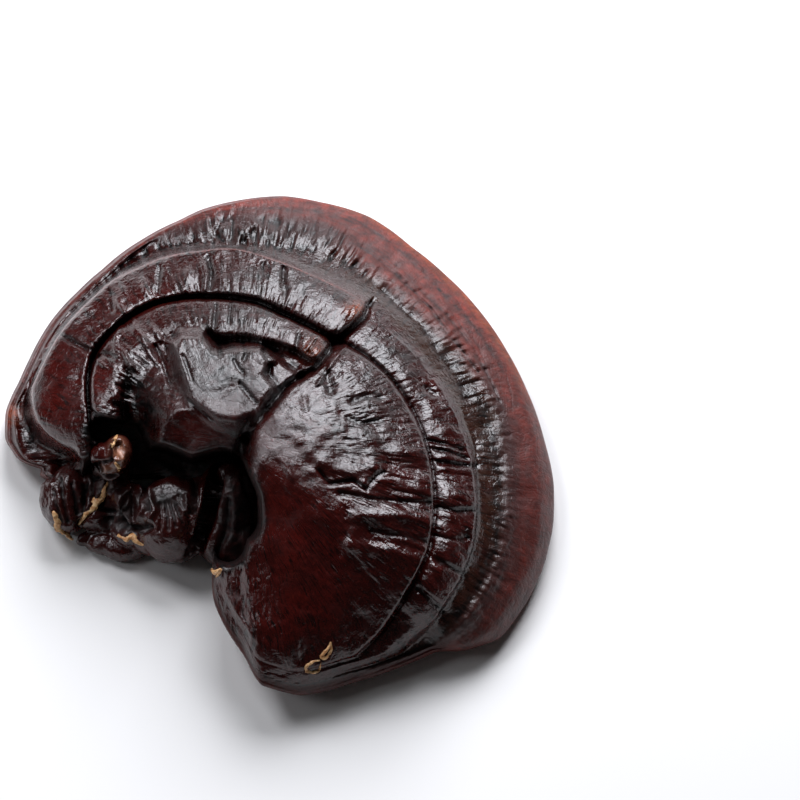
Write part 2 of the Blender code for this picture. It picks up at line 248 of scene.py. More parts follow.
# How the rim turns under, in millimetres: how far its face stands out all round and at the back,
# and how far the foot is drawn in under it. In front it leans in by shares of its height instead.
FACE_OUT = 0.4
FACE_OUT_BEHIND = 3.0
FACE_LEAN = 0.45
FOOT_IN = 1.5
FOOT_STEP = 1.0
FOOT_LEAN = 0.8
# How high up the rim its face lies, as a share, and the growth in millimetres from ring to ring
FACE_LEVEL = 0.45
RIM_GROWTH = 3.0

# Rings of the underside, as shares of the way from its middle to the foot of the rim, the pore
# layer's edge as such a share, and how far out the underside keeps its height, which is less far
# under the neck
UNDERSIDE_SHARES = (0.94, 0.82, 0.64, 0.42, 0.2)
PORE_EDGE = 0.98
UNDERSIDE_POWER = [(190, 2.2), (170, 2.6), (-60, 2.6), (-80, 0.5), (-165, 0.5)]

# Swellings of the dome and hollows in it: column, row, reach in pixels, height in millimetres
SWELLINGS = [(138, 428, 22, -9.0), (146, 455, 20, -9.0), (134, 396, 13, -3.0), (338, 412, 60, 2.4)]

# Flat facets: their traced outline, the height of their middle in millimetres, their rise in
# millimetres per pixel to the right and downwards, and the softness of their edge in pixels
FACETS = [
    ([
        (170, 343), (181, 333), (204, 333), (214, 349), (240, 346), (262, 346), (275, 360),
        (267, 374), (278, 386), (265, 400), (254, 416), (235, 425), (211, 421), (189, 402),
        (181, 380),
    ], 43.4, 0.004, 0.022, 7.0),
]

# Slopes cut into the dome, given like the facets: the boss's tip and its side towards the stem
CUTS = [
    ([
        (168, 392), (184, 392), (202, 411), (216, 423), (237, 426), (250, 418), (250, 440),
        (246, 480), (156, 480), (152, 440), (158, 410),
    ], 38.4, 0.03, -0.18, 9.0),
    ([
        (150, 352), (170, 352), (184, 392), (200, 411), (190, 480), (140, 480), (134, 420),
    ], 40.4, 0.2, -0.05, 10.0),
]

# The hollow beside the hub that the stem grows out of: middle lines with their reach in pixels,
# how steep its edge is, how many pixels painted shade and dull skin reach past it, and its height in
# millimetres at rows of the traced view
HOLLOWS = [
    ([(104, 478), (132, 476), (158, 469), (190, 483), (222, 474), (235, 500), (236, 520)], 24.0),
    ([(236, 520), (228, 546)], 18.0), ([(102, 430), (132, 436)], 13.0),
    ([(110, 456), (134, 452)], 18.0),
]
HOLLOW_STEEPNESS = 12
SHADE_ROUND_HOLLOW = 9.0
DULL_ROUND_HOLLOW = 4.0
HOLLOW_HEIGHTS = [
    (375, 38), (400, 31), (425, 21), (450, 16), (475, 14), (500, 12), (530, 9), (560, 6), (600, 5),
]

# Folds and creases, each a traced line with its width in pixels and its height in millimetres
CREASE_STROKES = [
    ([(370, 303), (364, 318), (350, 331), (336, 341)], 3.2, -3.0),
    ([(334, 342), (327, 355), (316, 368), (301, 376)], 3.2, -2.6),
    ([(301, 376), (287, 386), (276, 399), (266, 411), (256, 424), (246, 438)], 3.6, -3.2),
    ([(246, 438), (241, 450), (239, 462)], 5, -6.0), ([(334, 341), (337, 341)], 5.5, -3.5),
    ([(345, 347), (330, 366), (318, 384)], 2.2, 0.8),
    ([(247, 434), (255, 424), (263, 415)], 1.8, 0.9), ([(352, 312), (358, 306)], 9, 1.2),
    ([(312, 350), (318, 342)], 9, 1.4), ([(308, 352), (316, 341)], 1.8, -0.9),
]
BOSS_STROKES = [
    ([(206, 333), (212, 335), (218, 340), (224, 343)], 4.4, -2.8),
    ([(226, 342), (245, 340), (262, 344)], 2.6, -0.7),
    ([(266, 347), (276, 352), (288, 362), (296, 368)], 4.4, -1.8),
    ([(219, 345), (220, 355)], 2.2, -1.6),
    ([(270, 366), (268, 375), (274, 382), (278, 388)], 3.6, -2.2),
    ([(187, 398), (196, 408), (211, 419)], 1.6, -1.0),
    ([(240, 384), (246, 391), (252, 398), (256, 403)], 2.2, -1.1),
    ([(183, 356), (187, 365), (192, 381)], 1.8, -0.8),
    ([(205, 393), (220, 391), (236, 386)], 1.5, -0.35),
    ([(234, 360), (238, 368), (243, 373)], 1.8, -0.8),
    ([(243, 343), (247, 352), (244, 360)], 2.0, -0.9), ([(262, 350), (268, 360)], 2.0, -1.0),
    ([(216, 305), (214, 326)], 2.4, -1.3), ([(231, 303), (229, 322)], 2.0, -0.8),
    ([(299, 334), (296, 350)], 2.2, -0.9),
]
LEFT_STROKES = [
    ([(105, 336), (93, 353), (88, 378), (89, 402), (95, 416)], 2.6, -2.4),
    ([(92, 358), (103, 353), (116, 357)], 2.4, -1.6), ([(97, 360), (105, 366)], 1.8, 0.8),
    ([(88, 404), (97, 411), (108, 414)], 1.9, 1.0), ([(112, 362), (114, 370)], 1.6, 0.6),
    ([(126, 425), (139, 430)], 1.8, 1.6), ([(131, 434), (141, 441)], 2.4, 2.0),
    ([(142, 466), (152, 468)], 1.8, 1.4), ([(120, 325), (115, 340), (117, 358)], 1.9, 1.2),
    ([(134, 319), (133, 332)], 1.8, 1.0), ([(122, 350), (131, 366)], 2.0, 1.0),
    ([(137, 330), (148, 348), (156, 362)], 3.4, 1.0), ([(152, 327), (160, 340)], 2.8, 0.9),
    ([(156, 346), (164, 364), (170, 384)], 2.0, -0.9),
    ([(24, 395), (25, 420), (33, 442), (50, 458), (66, 466)], 1.6, -0.6),
    ([(19, 410), (22, 432), (33, 450), (47, 464)], 1.6, -0.6),
    ([(14, 400), (14, 425), (20, 445), (33, 460)], 1.8, 0.6), ([(10, 412), (12, 418)], 7, 2.2),
]
RIDGE_STROKES = [
    ([(121, 283), (124, 292), (118, 302), (125, 313)], 1.9, 1.0),
    ([(143, 279), (146, 293)], 2.6, 0.9), ([(190, 268), (186, 282), (184, 292)], 2.2, 0.8),
    ([(202, 264), (207, 276), (205, 290)], 2.4, 0.9),
    ([(208, 259), (212, 272), (209, 288)], 3.0, -1.3),
    ([(284, 268), (283, 280), (286, 294)], 2.4, -1.3), ([(262, 264), (263, 273)], 2.0, -0.9),
    ([(72, 322), (82, 314), (94, 308)], 2.0, 0.8), ([(60, 334), (73, 342), (88, 350)], 2.6, -1.3),
    ([(160, 268), (157, 294)], 2.2, -0.9), ([(110, 290), (112, 312)], 2.2, -0.8),
    ([(352, 310), (350, 318), (343, 330)], 1.8, -0.7),
]
LOBE_STROKES = [
    ([(326, 374), (331, 390)], 5, -1.3),
    ([(319, 470), (330, 484), (353, 480), (366, 489), (377, 475), (384, 472)], 1.9, -1.1),
    ([(322, 462), (352, 472), (378, 464)], 7, 0.8),
    ([(340, 493), (376, 500), (404, 502), (430, 503)], 3.0, -0.8),
    ([(352, 516), (390, 514), (428, 518)], 6, 0.8),
    ([(370, 530), (408, 537), (428, 542)], 3.0, -0.7),
    ([(350, 546), (385, 550), (420, 558)], 6, 0.7), ([(400, 452), (424, 458)], 8, 0.7),
    ([(352, 402), (366, 396), (380, 398)], 3.5, -0.9),
    ([(348, 418), (362, 424), (380, 420)], 3, -0.7), ([(304, 398), (306, 410)], 2.6, -0.45),
    ([(226, 592), (236, 612), (250, 634)], 3.2, 0.9),
    ([(272, 448), (284, 462), (292, 478)], 3, 0.6),
]
BAND_STROKES = [
    ([(430, 441), (445, 444), (462, 450)], 2.2, -0.9),
    ([(434, 449), (450, 452), (468, 459)], 2.2, -0.9),
    ([(438, 462), (456, 465), (474, 466)], 2.8, -1.1), ([(426, 388), (433, 394)], 3.5, -1.1),
    ([(438, 508), (456, 511), (474, 510)], 3, -0.9),
    ([(436, 536), (452, 540), (468, 538)], 2.6, -0.7),
    ([(436, 560), (450, 566), (462, 574)], 2.8, -0.8),
    ([(418, 588), (432, 600), (442, 610)], 3, -0.9),
    ([(352, 240), (372, 254), (397, 275), (430, 308), (440, 322), (458, 345), (478, 372)], 1.5, -0.9),
    ([(346, 232), (380, 252), (400, 268)], 1.2, -0.6),
    ([(384, 290), (396, 304), (420, 325), (440, 352), (456, 376), (466, 398)], 5.0, -0.7),
    ([(420, 290), (444, 312), (462, 334), (474, 350), (490, 380), (500, 402)], 1.3, -0.7),
    ([(436, 288), (470, 324), (500, 366)], 1.2, -0.55),
    ([(474, 440), (479, 500), (475, 545), (462, 580), (440, 614)], 1.5, -0.6),
    ([(489, 450), (492, 500), (488, 545), (472, 588)], 1.8, -0.5),
]
STROKES = CREASE_STROKES + BOSS_STROKES + LEFT_STROKES + RIDGE_STROKES + LOBE_STROKES + BAND_STROKES

# Places between the hub (0) and the outline, in growth lines, counting three rows round the hub
GROOVE_ONE, LEDGE, BAND_THREE, WRINKLED_CREST, RIM_LINE, RIM_CREST, OUTLINE = 8, 12, 13, 15, 16, 17, 18

# Zones of the cap between the hub and the outline, each given by the places where it starts, is
# full, starts to fade and is gone
WHOLE_RIM = (WRINKLED_CREST, RIM_LINE, RIM_CREST, OUTLINE)
WRINKLED_BAND = (BAND_THREE + 0.2, BAND_THREE + 0.8, WRINKLED_CREST + 0.4, RIM_LINE)
OLIVE_ZONE = (LEDGE + 0.2, LEDGE + 0.8, BAND_THREE + 0.9, WRINKLED_CREST + 0.6)
RIDGE_ZONE = (GROOVE_ONE + 0.6, GROOVE_ONE + 1.4, LEDGE - 1.0, LEDGE)
LOBE_FOLD_ZONE = (3.6, 5.0, 7.0, 7.9)
BOSS_FOLD_ZONE = (3.0, 3.7, 5.0, 5.8)
PITTED_ZONE = (1.0, 3.0, WRINKLED_CREST, RIM_LINE)
OUTER_EDGE = (RIM_CREST, OUTLINE)

# Stretches of angles round the hub, in degrees, given in the same way or by their start only
PAST_CREASE = (43.5, 45.5)
BOSS_FOLD_ANGLES = (128.0, 138.0, 162.0, 170.0)
RIGHT_RIM = (5.0, 20.0, 52.0, 66.0)
ORANGE_RIM = (0.0, 20.0, 60.0, 75.0)
LINED_RIM = (5.0, 25.0, 95.0, 115.0)
# Angles where the gaps between the wrinkles get stronger painted shade
SHADED_WRINKLES = (50.0, 75.0, 135.0, 150.0)

# Dark lines along the growth lines, black resin and painted shade in their grooves: how dark, their
# place and width, counted in growth lines, and the angles round the hub over which they come in
GROOVE_LINES = (
    (0.9, GROOVE_ONE, 0.2, (43.0, 45.5)),
    (0.5, GROOVE_ONE, 0.3, (-60.0, -38.0)),
    (0.8, BAND_THREE + 0.9, 0.35, (30.0, 5.0)),
)

# Heights in millimetres of the radial wrinkles at places, left of the crease and right of it
LEFT_WRINKLES = [
    (0, 0), (3, 0), (4, 0.5), (4.6, 0.35), (5, 0.12), (6, 0.1), (7, 0.15), (8, 0.3), (8.5, 1.0),
    (9, 1.1), (9.5, 0.5), (10, 0.12), (12, 0.1), (13.3, 0.3), (13.8, 1.7), (15, 1.8), (16, 0.9),
    (17, 0.4), (18, 0),
]
RIGHT_WRINKLES = [
    (0, 0), (2, 0), (3, 0.03), (4, 0.06), (5, 0.15), (6, 0.195), (6.7, 0.18), (7, 0.12), (8, 0.06),
    (9, 0.075), (10, 0.09), (12, 0.06), (13, 0.045), (13.3, 0.12), (13.7, 0.33), (15.3, 0.42),
    (16, 0.3), (16.5, 0.12), (17, 0.12), (18, 0),
]
WRINKLE_SPACING = 5.0
BOSS_FOLD_SPACING = 12.0
BOSS_FOLD_HEIGHT = 1.5

# Where the lobe's folds and its lumpy edge lie in the traced view: middle and reach in pixels
LOBE_FOLD_ROWS = (490.0, 90.0)
LOBE_EDGE_ROWS = (448.0, 36.0)
LOBE_EDGE_COLUMNS = (285.0, 50.0)

# Unevenness of the skin: its height in millimetres, its size in pixels along the growth lines and
# outwards, or across and down the traced view, and the seed of its noise
LOBE_FOLDS = (0.55, 19.0, 60.0, 51)
RIM_RINGS = (0.22, 90.0, 7.0, 81)
BROKEN_RINGS = (0.4, 26.0, 7.0, 82)
RIDGE_LUMPS = (0.35, 24.0, 20.0, 91)
BROAD_LUMPS = (0.4, 26.0, 26.0, 21)
SMALL_LUMPS = (0.26, 11.0, 11.0, 22)
FINE_LUMPS = (0.14, 5.0, 5.0, 23)
LOBE_EDGE_LUMPS = (0.5, 12.0, 8.0, 24)
PITS = (1.0, 4.6, 5.0, 31)
PIT_EDGES = (0.45, 0.8)
PIT_DEPTH = 0.28
WRINKLE_PATCHES = (0.5, 38.0, 38.0, 5)
PORE_LUMPS = (1.0, 9.0, 9.0, 41)
FINE_PORE_LUMPS = (0.5, 4.0, 4.0, 42)
PORE_LUMP_DEPTH = 0.35

# How strong each colour of the crust is at an angle round the hub
RUSSET_RIM = [
    (190, 0.45), (150, 0.2), (120, 0.3), (100, 0.6), (80, 0.8), (50, 1.0), (25, 0.9), (0, 0.4),
    (-15, 0.25), (-40, 0.3), (-70, 0.15), (-150, 0.15),
]
OLIVE_BAND = [
    (190, 0), (120, 0), (75, 0.25), (60, 0.5), (48, 0.9), (20, 1.0), (-10, 0.8), (-40, 0.6),
    (-60, 0.3), (-150, 0),
]

# Patches of clearer, redder lacquer and of the other tones, each by its column and row, its reach
# across and down in pixels, and its strength
RED_PATCHES = [
    (290, 570, 60, 90, 1.0), (275, 500, 26, 36, 1.0), (52, 395, 24, 60, 0.9),
    (205, 440, 34, 16, 0.9), (325, 422, 16, 24, 0.8), (150, 300, 50, 12, 0.5),
    (100, 378, 14, 22, 0.6), (440, 590, 20, 40, 0.4), (530, 520, 22, 100, 0.5),
    (400, 330, 9, 12, 0.8), (418, 356, 9, 14, 0.8), (431, 382, 8, 14, 0.6), (30, 455, 26, 15, 0.8),
    (398, 478, 18, 14, 0.5), (205, 430, 34, 22, 0.6),
]
ORANGE_PATCHES = [(355, 310, 9, 8, 0.7), (313, 350, 9, 10, 0.45), (10, 414, 8, 8, 1.0)]
# These patches are painted shade, in the hollows beside the boss and between the rolls
PAINTED_SHADE_PATCHES = [
    (142, 418, 22, 42, 1.0), (118, 432, 12, 18, 0.8), (130, 385, 12, 24, 0.8),
    (250, 445, 8, 40, 0.7), (88, 432, 9, 22, 0.6),
]
MATT_PATCHES = [
    (222, 372, 46, 34, 1.0), (270, 285, 80, 20, 0.7), (240, 318, 60, 12, 0.7),
    (350, 420, 60, 46, 0.7), (400, 350, 40, 30, 0.6), (260, 236, 100, 14, 0.6),
]

# What the cap's mesh tells its material at every point, in this order
# Of these tones, the black of the grooves is resin with painted shade in grooves, creases and hollows
TONES = (
    "red lacquer", "russet rim", "olive band", "resin and painted shade", "orange edge", "matt bloom", "dull rim",
)


def ramp(value, start, end):
    """A smooth step from 0 at start to 1 at end."""
    t = np.clip((value - start) / (end - start), 0.0, 1.0)
    return t * t * (3.0 - 2.0 * t)


def span(value, band):
    """1 in a band that is given by where it starts, is full, starts to fade and is gone."""
    return ramp(value, *band[:2]) * (1.0 - ramp(value, *band[2:]))


def bell(value, middle, width):
    """A soft bump that is 1 at its middle."""
    return np.exp(-(((value - middle) / width) ** 2))


def point_at(column, row, height):
    """The points in millimetres that the traced view shows at these pixels, at these heights."""
    across = (column - PICTURE_CENTRE) / FOCAL_PIXELS
    upward = (PICTURE_CENTRE - row) / FOCAL_PIXELS
    ahead = math.cos(VIEW_TILT) + upward * math.sin(VIEW_TILT)
    fall = math.sin(VIEW_TILT) - upward * math.cos(VIEW_TILT)
    reach = (EYE[2] - height) / fall
    x = EYE[0] + reach * across
    y = EYE[1] + reach * ahead
    return np.stack([x, y, height + np.zeros_like(x)], axis=-1)


def pixel_of(points):
    """The columns and rows where the traced view shows these points in millimetres."""
    away = points - np.array(EYE)
    depth = away[:, 1] * math.cos(VIEW_TILT) - away[:, 2] * math.sin(VIEW_TILT)
    upward = away[:, 1] * math.sin(VIEW_TILT) + away[:, 2] * math.cos(VIEW_TILT)
    column = PICTURE_CENTRE + FOCAL_PIXELS * away[:, 0] / depth
    return column, PICTURE_CENTRE - FOCAL_PIXELS * upward / depth


def read_round(known, values, angles, softness):
    """Values known at a few angles round the hub, read at every angle with softened corners."""
    return np.mean([np.interp(angles + step, known, values, period=360.0) for step in softness], axis=0)


def value_round(table, angles):
    """A table of angles and values, read at every angle."""
    return read_round(*np.array(table, float).T, angles, TABLE_SOFTNESS)


def radius_of(line, angles):
    """How far a growth line is from the hub at each angle, in pixels."""
    if isinstance(line[0], str):
        near, far = (radius_of(GROWTH_LINES[name][0], angles) for name in line[:2])
        return near + (far - near) * line[2]
    columns, rows = np.array(line, float).T
    known = np.degrees(np.arctan2(HUB[1] - rows, columns - HUB[0]))
    radii = np.hypot(columns - HUB[0], HUB[1] - rows)
    return read_round(known, radii, angles, LINE_SOFTNESS)


def spoke_angles():
    """Angles of the mesh's spokes, which lie equally far apart along the outline."""
    turned = NECK_ANGLE - np.linspace(0.0, 360.0, TURN_STEPS)
    spread = np.cumsum(radius_of(GROWTH_LINES["outline"][0], turned))
    wanted = spread[0] + (np.arange(SPOKES) + 0.5) / SPOKES * (spread[-1] - spread[0])
    return np.interp(wanted, spread, turned)


def dome_share(share, angles):
    """Height of the smooth dome from 0 at the outline to 1 at its top, a little out from the hub."""
    fall = np.clip((share - DOME_FLAT) / (1.0 - DOME_FLAT), 0.0, 1.0)
    lean = value_round(DOME_LEAN, angles)
    return 1.0 - lean * fall - (1.0 - lean) * fall ** value_round(DOME_POWER, angles)


def swelling(columns, rows):
    """How much the swellings and hollows of the dome add at these pixels."""
    total = np.zeros_like(columns)
    for column, row, reach, height in SWELLINGS:
        total += height * np.exp(-((columns - column) ** 2 + (rows - row) ** 2) / reach**2)
    return total


def patched(columns, rows, patches):
    """How strongly soft patches cover these pixels, from 0 to 1."""
    total = np.zeros_like(columns)
    for column, row, across, down, strength in patches:
        total += strength * np.exp(-((columns - column) / across) ** 2 - ((rows - row) / down) ** 2)
    return np.clip(total, 0.0, 1.0)


def inside(columns, rows, outline):
    """Which pixels lie inside a traced outline."""
    found = np.zeros(columns.shape, bool)
    for (x0, y0), (x1, y1) in zip(outline, outline[1:] + outline[:1]):
        beside = (rows < y0) != (rows < y1)
        found ^= beside & (columns < x0 + (rows - y0) * (x1 - x0) / (y1 - y0 + 1e-9))
    return found


def away_from(columns, rows, line):
    """How far each pixel is from a traced line."""
    nearest = np.full_like(columns, 1e9)
    for (x0, y0), (x1, y1) in zip(line, line[1:]):
        wide, tall = x1 - x0, y1 - y0
        along = ((columns - x0) * wide + (rows - y0) * tall) / (wide**2 + tall**2)
        along = np.clip(along, 0.0, 1.0)
        gap = np.hypot(columns - x0 - along * wide, rows - y0 - along * tall)
        nearest = np.minimum(nearest, gap)
    return nearest


def facet(columns, rows, outline, level, right, down, soft):
    """How much of each pixel a facet takes, and how high its plane is there."""
    gap = away_from(columns, rows, outline + outline[:1])
    share = ramp(np.where(inside(columns, rows, outline), gap, -gap), -soft, soft)
    middle = np.mean(outline, axis=0)
    return share, level + right * (columns - middle[0]) + down * (rows - middle[1])


def faceted(columns, rows, height):
    """The heights with the flat facets pressed into them and the slopes cut into them."""
    for shape in FACETS:
        share, plane = facet(columns, rows, *shape)
        height = height + share * (plane - height)
    for shape in CUTS:
        share, plane = facet(columns, rows, *shape)
        height = height + share * (np.minimum(plane, height) - height)
    return height


def hollowed(columns, rows, wider=0.0):
    """1 in the hollow that the stem grows out of, or in one so many pixels wider, and 0 outside."""
    near = [away_from(columns, rows, line) / (reach + wider) for line, reach in HOLLOWS]
    return np.exp(-(np.min(near, axis=0) ** HOLLOW_STEEPNESS))


def stroked(columns, rows, strokes):
    """How much the folds and creases add at these pixels."""
    total = np.zeros_like(columns)
    for line, width, height in strokes:
        total += height * bell(away_from(columns, rows, line), 0.0, width)
    return total


def lattice_noise(x, y, seed):
    """Smooth noise from -1 to 1 with features one unit wide."""
    table = np.random.default_rng(seed).uniform(-1.0, 1.0, (256, 256))
    left, low = np.floor(x).astype(int), np.floor(y).astype(int)
    u, v = x - left, y - low
    u, v = u * u * (3.0 - 2.0 * u), v * v * (3.0 - 2.0 * v)

    def at(i, j):
        return table[(left + i) % 256, (low + j) % 256]

    near = at(0, 0) * (1.0 - u) + at(1, 0) * u
    far = at(0, 1) * (1.0 - u) + at(1, 1) * u
    return near * (1.0 - v) + far * v


def uneven(kind, x, y):
    """One kind of unevenness of the skin at these places."""
    height, across, down, seed = kind
    return height * lattice_noise(x / across, y / down, seed)


def wrinkles(around, outwards, spacing, seed):
    """Radial wrinkles that sway, sharper on top than in their valleys, with finer ones on them."""
    sway = 2.5 * lattice_noise(around / (spacing * 3.0), outwards / (spacing * 2.0), seed + 2)
    wide = lattice_noise((around + sway) / spacing, outwards / (spacing * 2.6), seed)
    fine = lattice_noise((around - sway) / (spacing * 0.6), outwards / (spacing * 1.6), seed + 1)
    return 0.8 * wide + 0.35 * fine - 0.4 * np.abs(wide)


def between(anchors, steps):
    """Rows on smooth curves through the anchor rows, with so many steps after each anchor."""
    anchors = np.asarray(anchors)
    gaps = np.diff(anchors, axis=0)
    both = gaps[:-1] * gaps[1:]
    with np.errstate(divide="ignore", invalid="ignore"):
        mean = np.where(both > 0.0, 2.0 * both / (gaps[:-1] + gaps[1:]), 0.0)
    slopes = np.concatenate([gaps[:1], np.nan_to_num(mean), gaps[-1:]])
    return curve_rows(anchors, slopes, steps)


def smooth_between(anchors, steps):
    """The same on rounder curves, which may run past their anchors."""
    anchors = np.asarray(anchors)
    middle = (anchors[2:] - anchors[:-2]) / 2.0
    slopes = np.concatenate([anchors[1:2] - anchors[:1], middle, anchors[-1:] - anchors[-2:-1]])
    return curve_rows(anchors, slopes, steps)


def curve_rows(anchors, slopes, steps):
    """Rows on the cubic curves that have these slopes at the anchors."""
    rows = []
    for i, count in enumerate(steps):
        gap = anchors[i + 1] - anchors[i]
        for t in np.arange(count) / count:
            rise = t * t * (3.0 - 2.0 * t)
            lead = t * (1.0 - t) ** 2
            lag = t * t * (t - 1.0)
            rows.append(anchors[i] + gap * rise + slopes[i] * lead + slopes[i + 1] * lag)
    rows.append(anchors[len(steps)])
    return np.array(rows)


def growth_rows(angles):
    """Radius in pixels, relief in millimetres and zone number of the cap's rows on every spoke."""
    radii = [radius_of(line, angles) for line, _ in GROWTH_LINES.values()]
    reliefs = [value_round(table, angles) for _, table in GROWTH_LINES.values()]
    for i in range(len(radii) - 2, -1, -1):
        radii[i] = np.minimum(radii[i], radii[i + 1] - LEAST_GAP)
    hub = np.zeros(len(angles))
    radii = [hub] + [radii[0] * share for share in HUB_SHARES] + radii
    reliefs = [hub, hub, hub, reliefs[0] * HUB_RELIEF] + reliefs
    zone = between(np.arange(len(radii), dtype=float)[:, None], TOP_ROWS)
    return between(radii, TOP_ROWS), between(reliefs, TOP_ROWS), zone


def wrinkle_depth(angles, column, row, zone):
    """How high the radial wrinkles stand: in patches, lower at the far left and over the crease."""
    left = np.interp(zone, *np.array(LEFT_WRINKLES).T)
    left = left * (1.0 - 0.8 * ramp(angles, 150.0, 165.0)) * (0.4 + 0.6 * ramp(angles, 55.0, 75.0))
    right = np.interp(zone, *np.array(RIGHT_WRINKLES).T)
    depth = right + ramp(angles, *PAST_CREASE) * (left - right)
    return depth * (0.75 + uneven(WRINKLE_PATCHES, column, row))


def rough_skin(angles, column, row, around, radius, zone):
    """Radial wrinkles by zone, folds, rings, lumps and small pits, in millimetres."""
    right = 1.0 - ramp(angles, *PAST_CREASE)
    total = wrinkle_depth(angles, column, row, zone) * wrinkles(around, radius, WRINKLE_SPACING, 11)
    folds = BOSS_FOLD_HEIGHT * span(zone, BOSS_FOLD_ZONE) * span(angles, BOSS_FOLD_ANGLES)
    total += folds * wrinkles(around, radius, BOSS_FOLD_SPACING, 71)
    folds = right * span(zone, LOBE_FOLD_ZONE) * bell(row, *LOBE_FOLD_ROWS)
    total += folds * uneven(LOBE_FOLDS, around, radius)
    total += span(zone, RIDGE_ZONE) * right * uneven(RIDGE_LUMPS, around, radius)
    rings = uneven(RIM_RINGS, around, radius)
    rings = rings + (1.0 - ramp(angles, 20.0, 50.0)) * uneven(BROKEN_RINGS, around, radius)
    total += span(zone, WHOLE_RIM) * rings
    small = uneven(SMALL_LUMPS, column, row) + uneven(FINE_LUMPS, column, row)
    total += small * (1.0 - 0.6 * patched(column, row, RED_PATCHES)) + uneven(BROAD_LUMPS, column, row)
    edge = right * bell(row, *LOBE_EDGE_ROWS) * bell(column, *LOBE_EDGE_COLUMNS)
    total += edge * uneven(LOBE_EDGE_LUMPS, column, row)
    pits = ramp(uneven(PITS, around, radius), *PIT_EDGES)
    return total - PIT_DEPTH * pits * span(zone, PITTED_ZONE)


def hollowness(heights):
    """How far each point lies under its surroundings, in millimetres."""
    around = heights
    for _ in range(6):
        around = (np.roll(around, 1, axis=1) + around + np.roll(around, -1, axis=1)) / 3.0
        padded = np.concatenate([around[:1], around, around[-1:]])
        around = (padded[:-2] + padded[1:-1] + padded[2:]) / 3.0
    return around - heights


def russet_tone(angles, zone):
    """Russet along the rim, fading in more slowly at the right, and a little on the ledge."""
    rim = ramp(zone, WRINKLED_CREST + 0.4, RIM_LINE + 0.6)
    slow = 0.6 * ramp(zone, BAND_THREE + 0.8, WRINKLED_CREST)
    slow += 0.5 * ramp(zone, WRINKLED_CREST + 0.6, OUTLINE)
    rim = (rim + span(angles, RIGHT_RIM) * (slow - rim)) * value_round(RUSSET_RIM, angles)
    ledge = 0.4 * bell(zone, LEDGE, 0.2) * ramp(angles, 44.0, 60.0)
    return np.clip(rim + ledge, 0.0, 1.0)


def dark_creases(strokes, least, widened=1.0):
    """The creases that are at least so deep, as strokes of black resin and painted shade."""
    return [
        (line, width * widened, min(1.0, -height)) for line, width, height in strokes if height < -least
    ]


def resin_and_shade_tone(angles, column, row, height, zone):
    """Black resin and painted shade in the grooves between growth lines and in the creases, and painted
    shade where the skin lies under its surroundings, in the stem's hollow and in the dark patches.
    """
    # The deeper creases are drawn black: dark resin and painted shade
    groove = 0.8 * stroked(column, row, dark_creases(STROKES, 0.5, 1.1))
    for dark, place, width, stretch in GROOVE_LINES:
        groove += dark * bell(zone, place, width) * ramp(angles, *stretch)
    rim_line = RIM_LINE + 0.1 + 0.6 * ramp(angles, 90.0, 45.0)
    groove += 0.65 * bell(zone, rim_line, 0.13) * span(angles, LINED_RIM)
    # Painted shade in the gaps that lie under their surroundings, stronger between the wrinkles at the
    # back
    deeper = 1.0 + 2.0 * span(zone, WRINKLED_BAND) * span(angles, SHADED_WRINKLES)
    gaps = ramp(deeper * hollowness(height), 0.2, 1.1) * (1.0 - ramp(zone, *OUTER_EDGE))
    gaps *= 1.0 - 0.5 * bell(zone, GROOVE_ONE, 0.8)
    groove = np.maximum(np.clip(groove, 0.0, 1.0), gaps)
    # Painted shade in and round the stem's hollow
    groove = np.maximum(groove, hollowed(column, row, SHADE_ROUND_HOLLOW))
    return np.maximum(groove, patched(column, row, PAINTED_SHADE_PATCHES))


def dull_tone(angles, column, row, zone):
    """Where the lacquer is dull: the rim, which is wider at the right and in front, and the hollow."""
    zone_in = zone + 0.9 * span(angles, RIGHT_RIM) + 0.9 * ramp(angles, 12.0, 0.0)
    dull = ramp(zone_in, WRINKLED_CREST - 0.8, RIM_LINE + 0.2)
    dull *= 1.0 - 0.7 * ramp(angles, 72.0, 95.0) * (1.0 - ramp(zone, *OUTER_EDGE))
    dull *= 0.7 + 0.3 * ramp(angles, -5.0, 25.0)
    return np.maximum(dull, hollowed(column, row, DULL_ROUND_HOLLOW))


def crust_tones(angles, column, row, height, zone):
    """The shares of the crust's colours and finishes at each point of the cap's top."""
    olive = span(zone, OLIVE_ZONE) * value_round(OLIVE_BAND, angles)
    edge = span(angles, ORANGE_RIM) * ramp(zone, RIM_CREST - 0.1, OUTLINE)
    return np.stack([
        patched(column, row, RED_PATCHES),
        russet_tone(angles, zone),
        olive,
        resin_and_shade_tone(angles, column, row, height, zone),
        np.clip(patched(column, row, ORANGE_PATCHES) + 0.8 * edge, 0.0, 1.0),
        np.maximum(patched(column, row, MATT_PATCHES), 0.4 * olive),
        dull_tone(angles, column, row, zone),
    ], axis=-1)


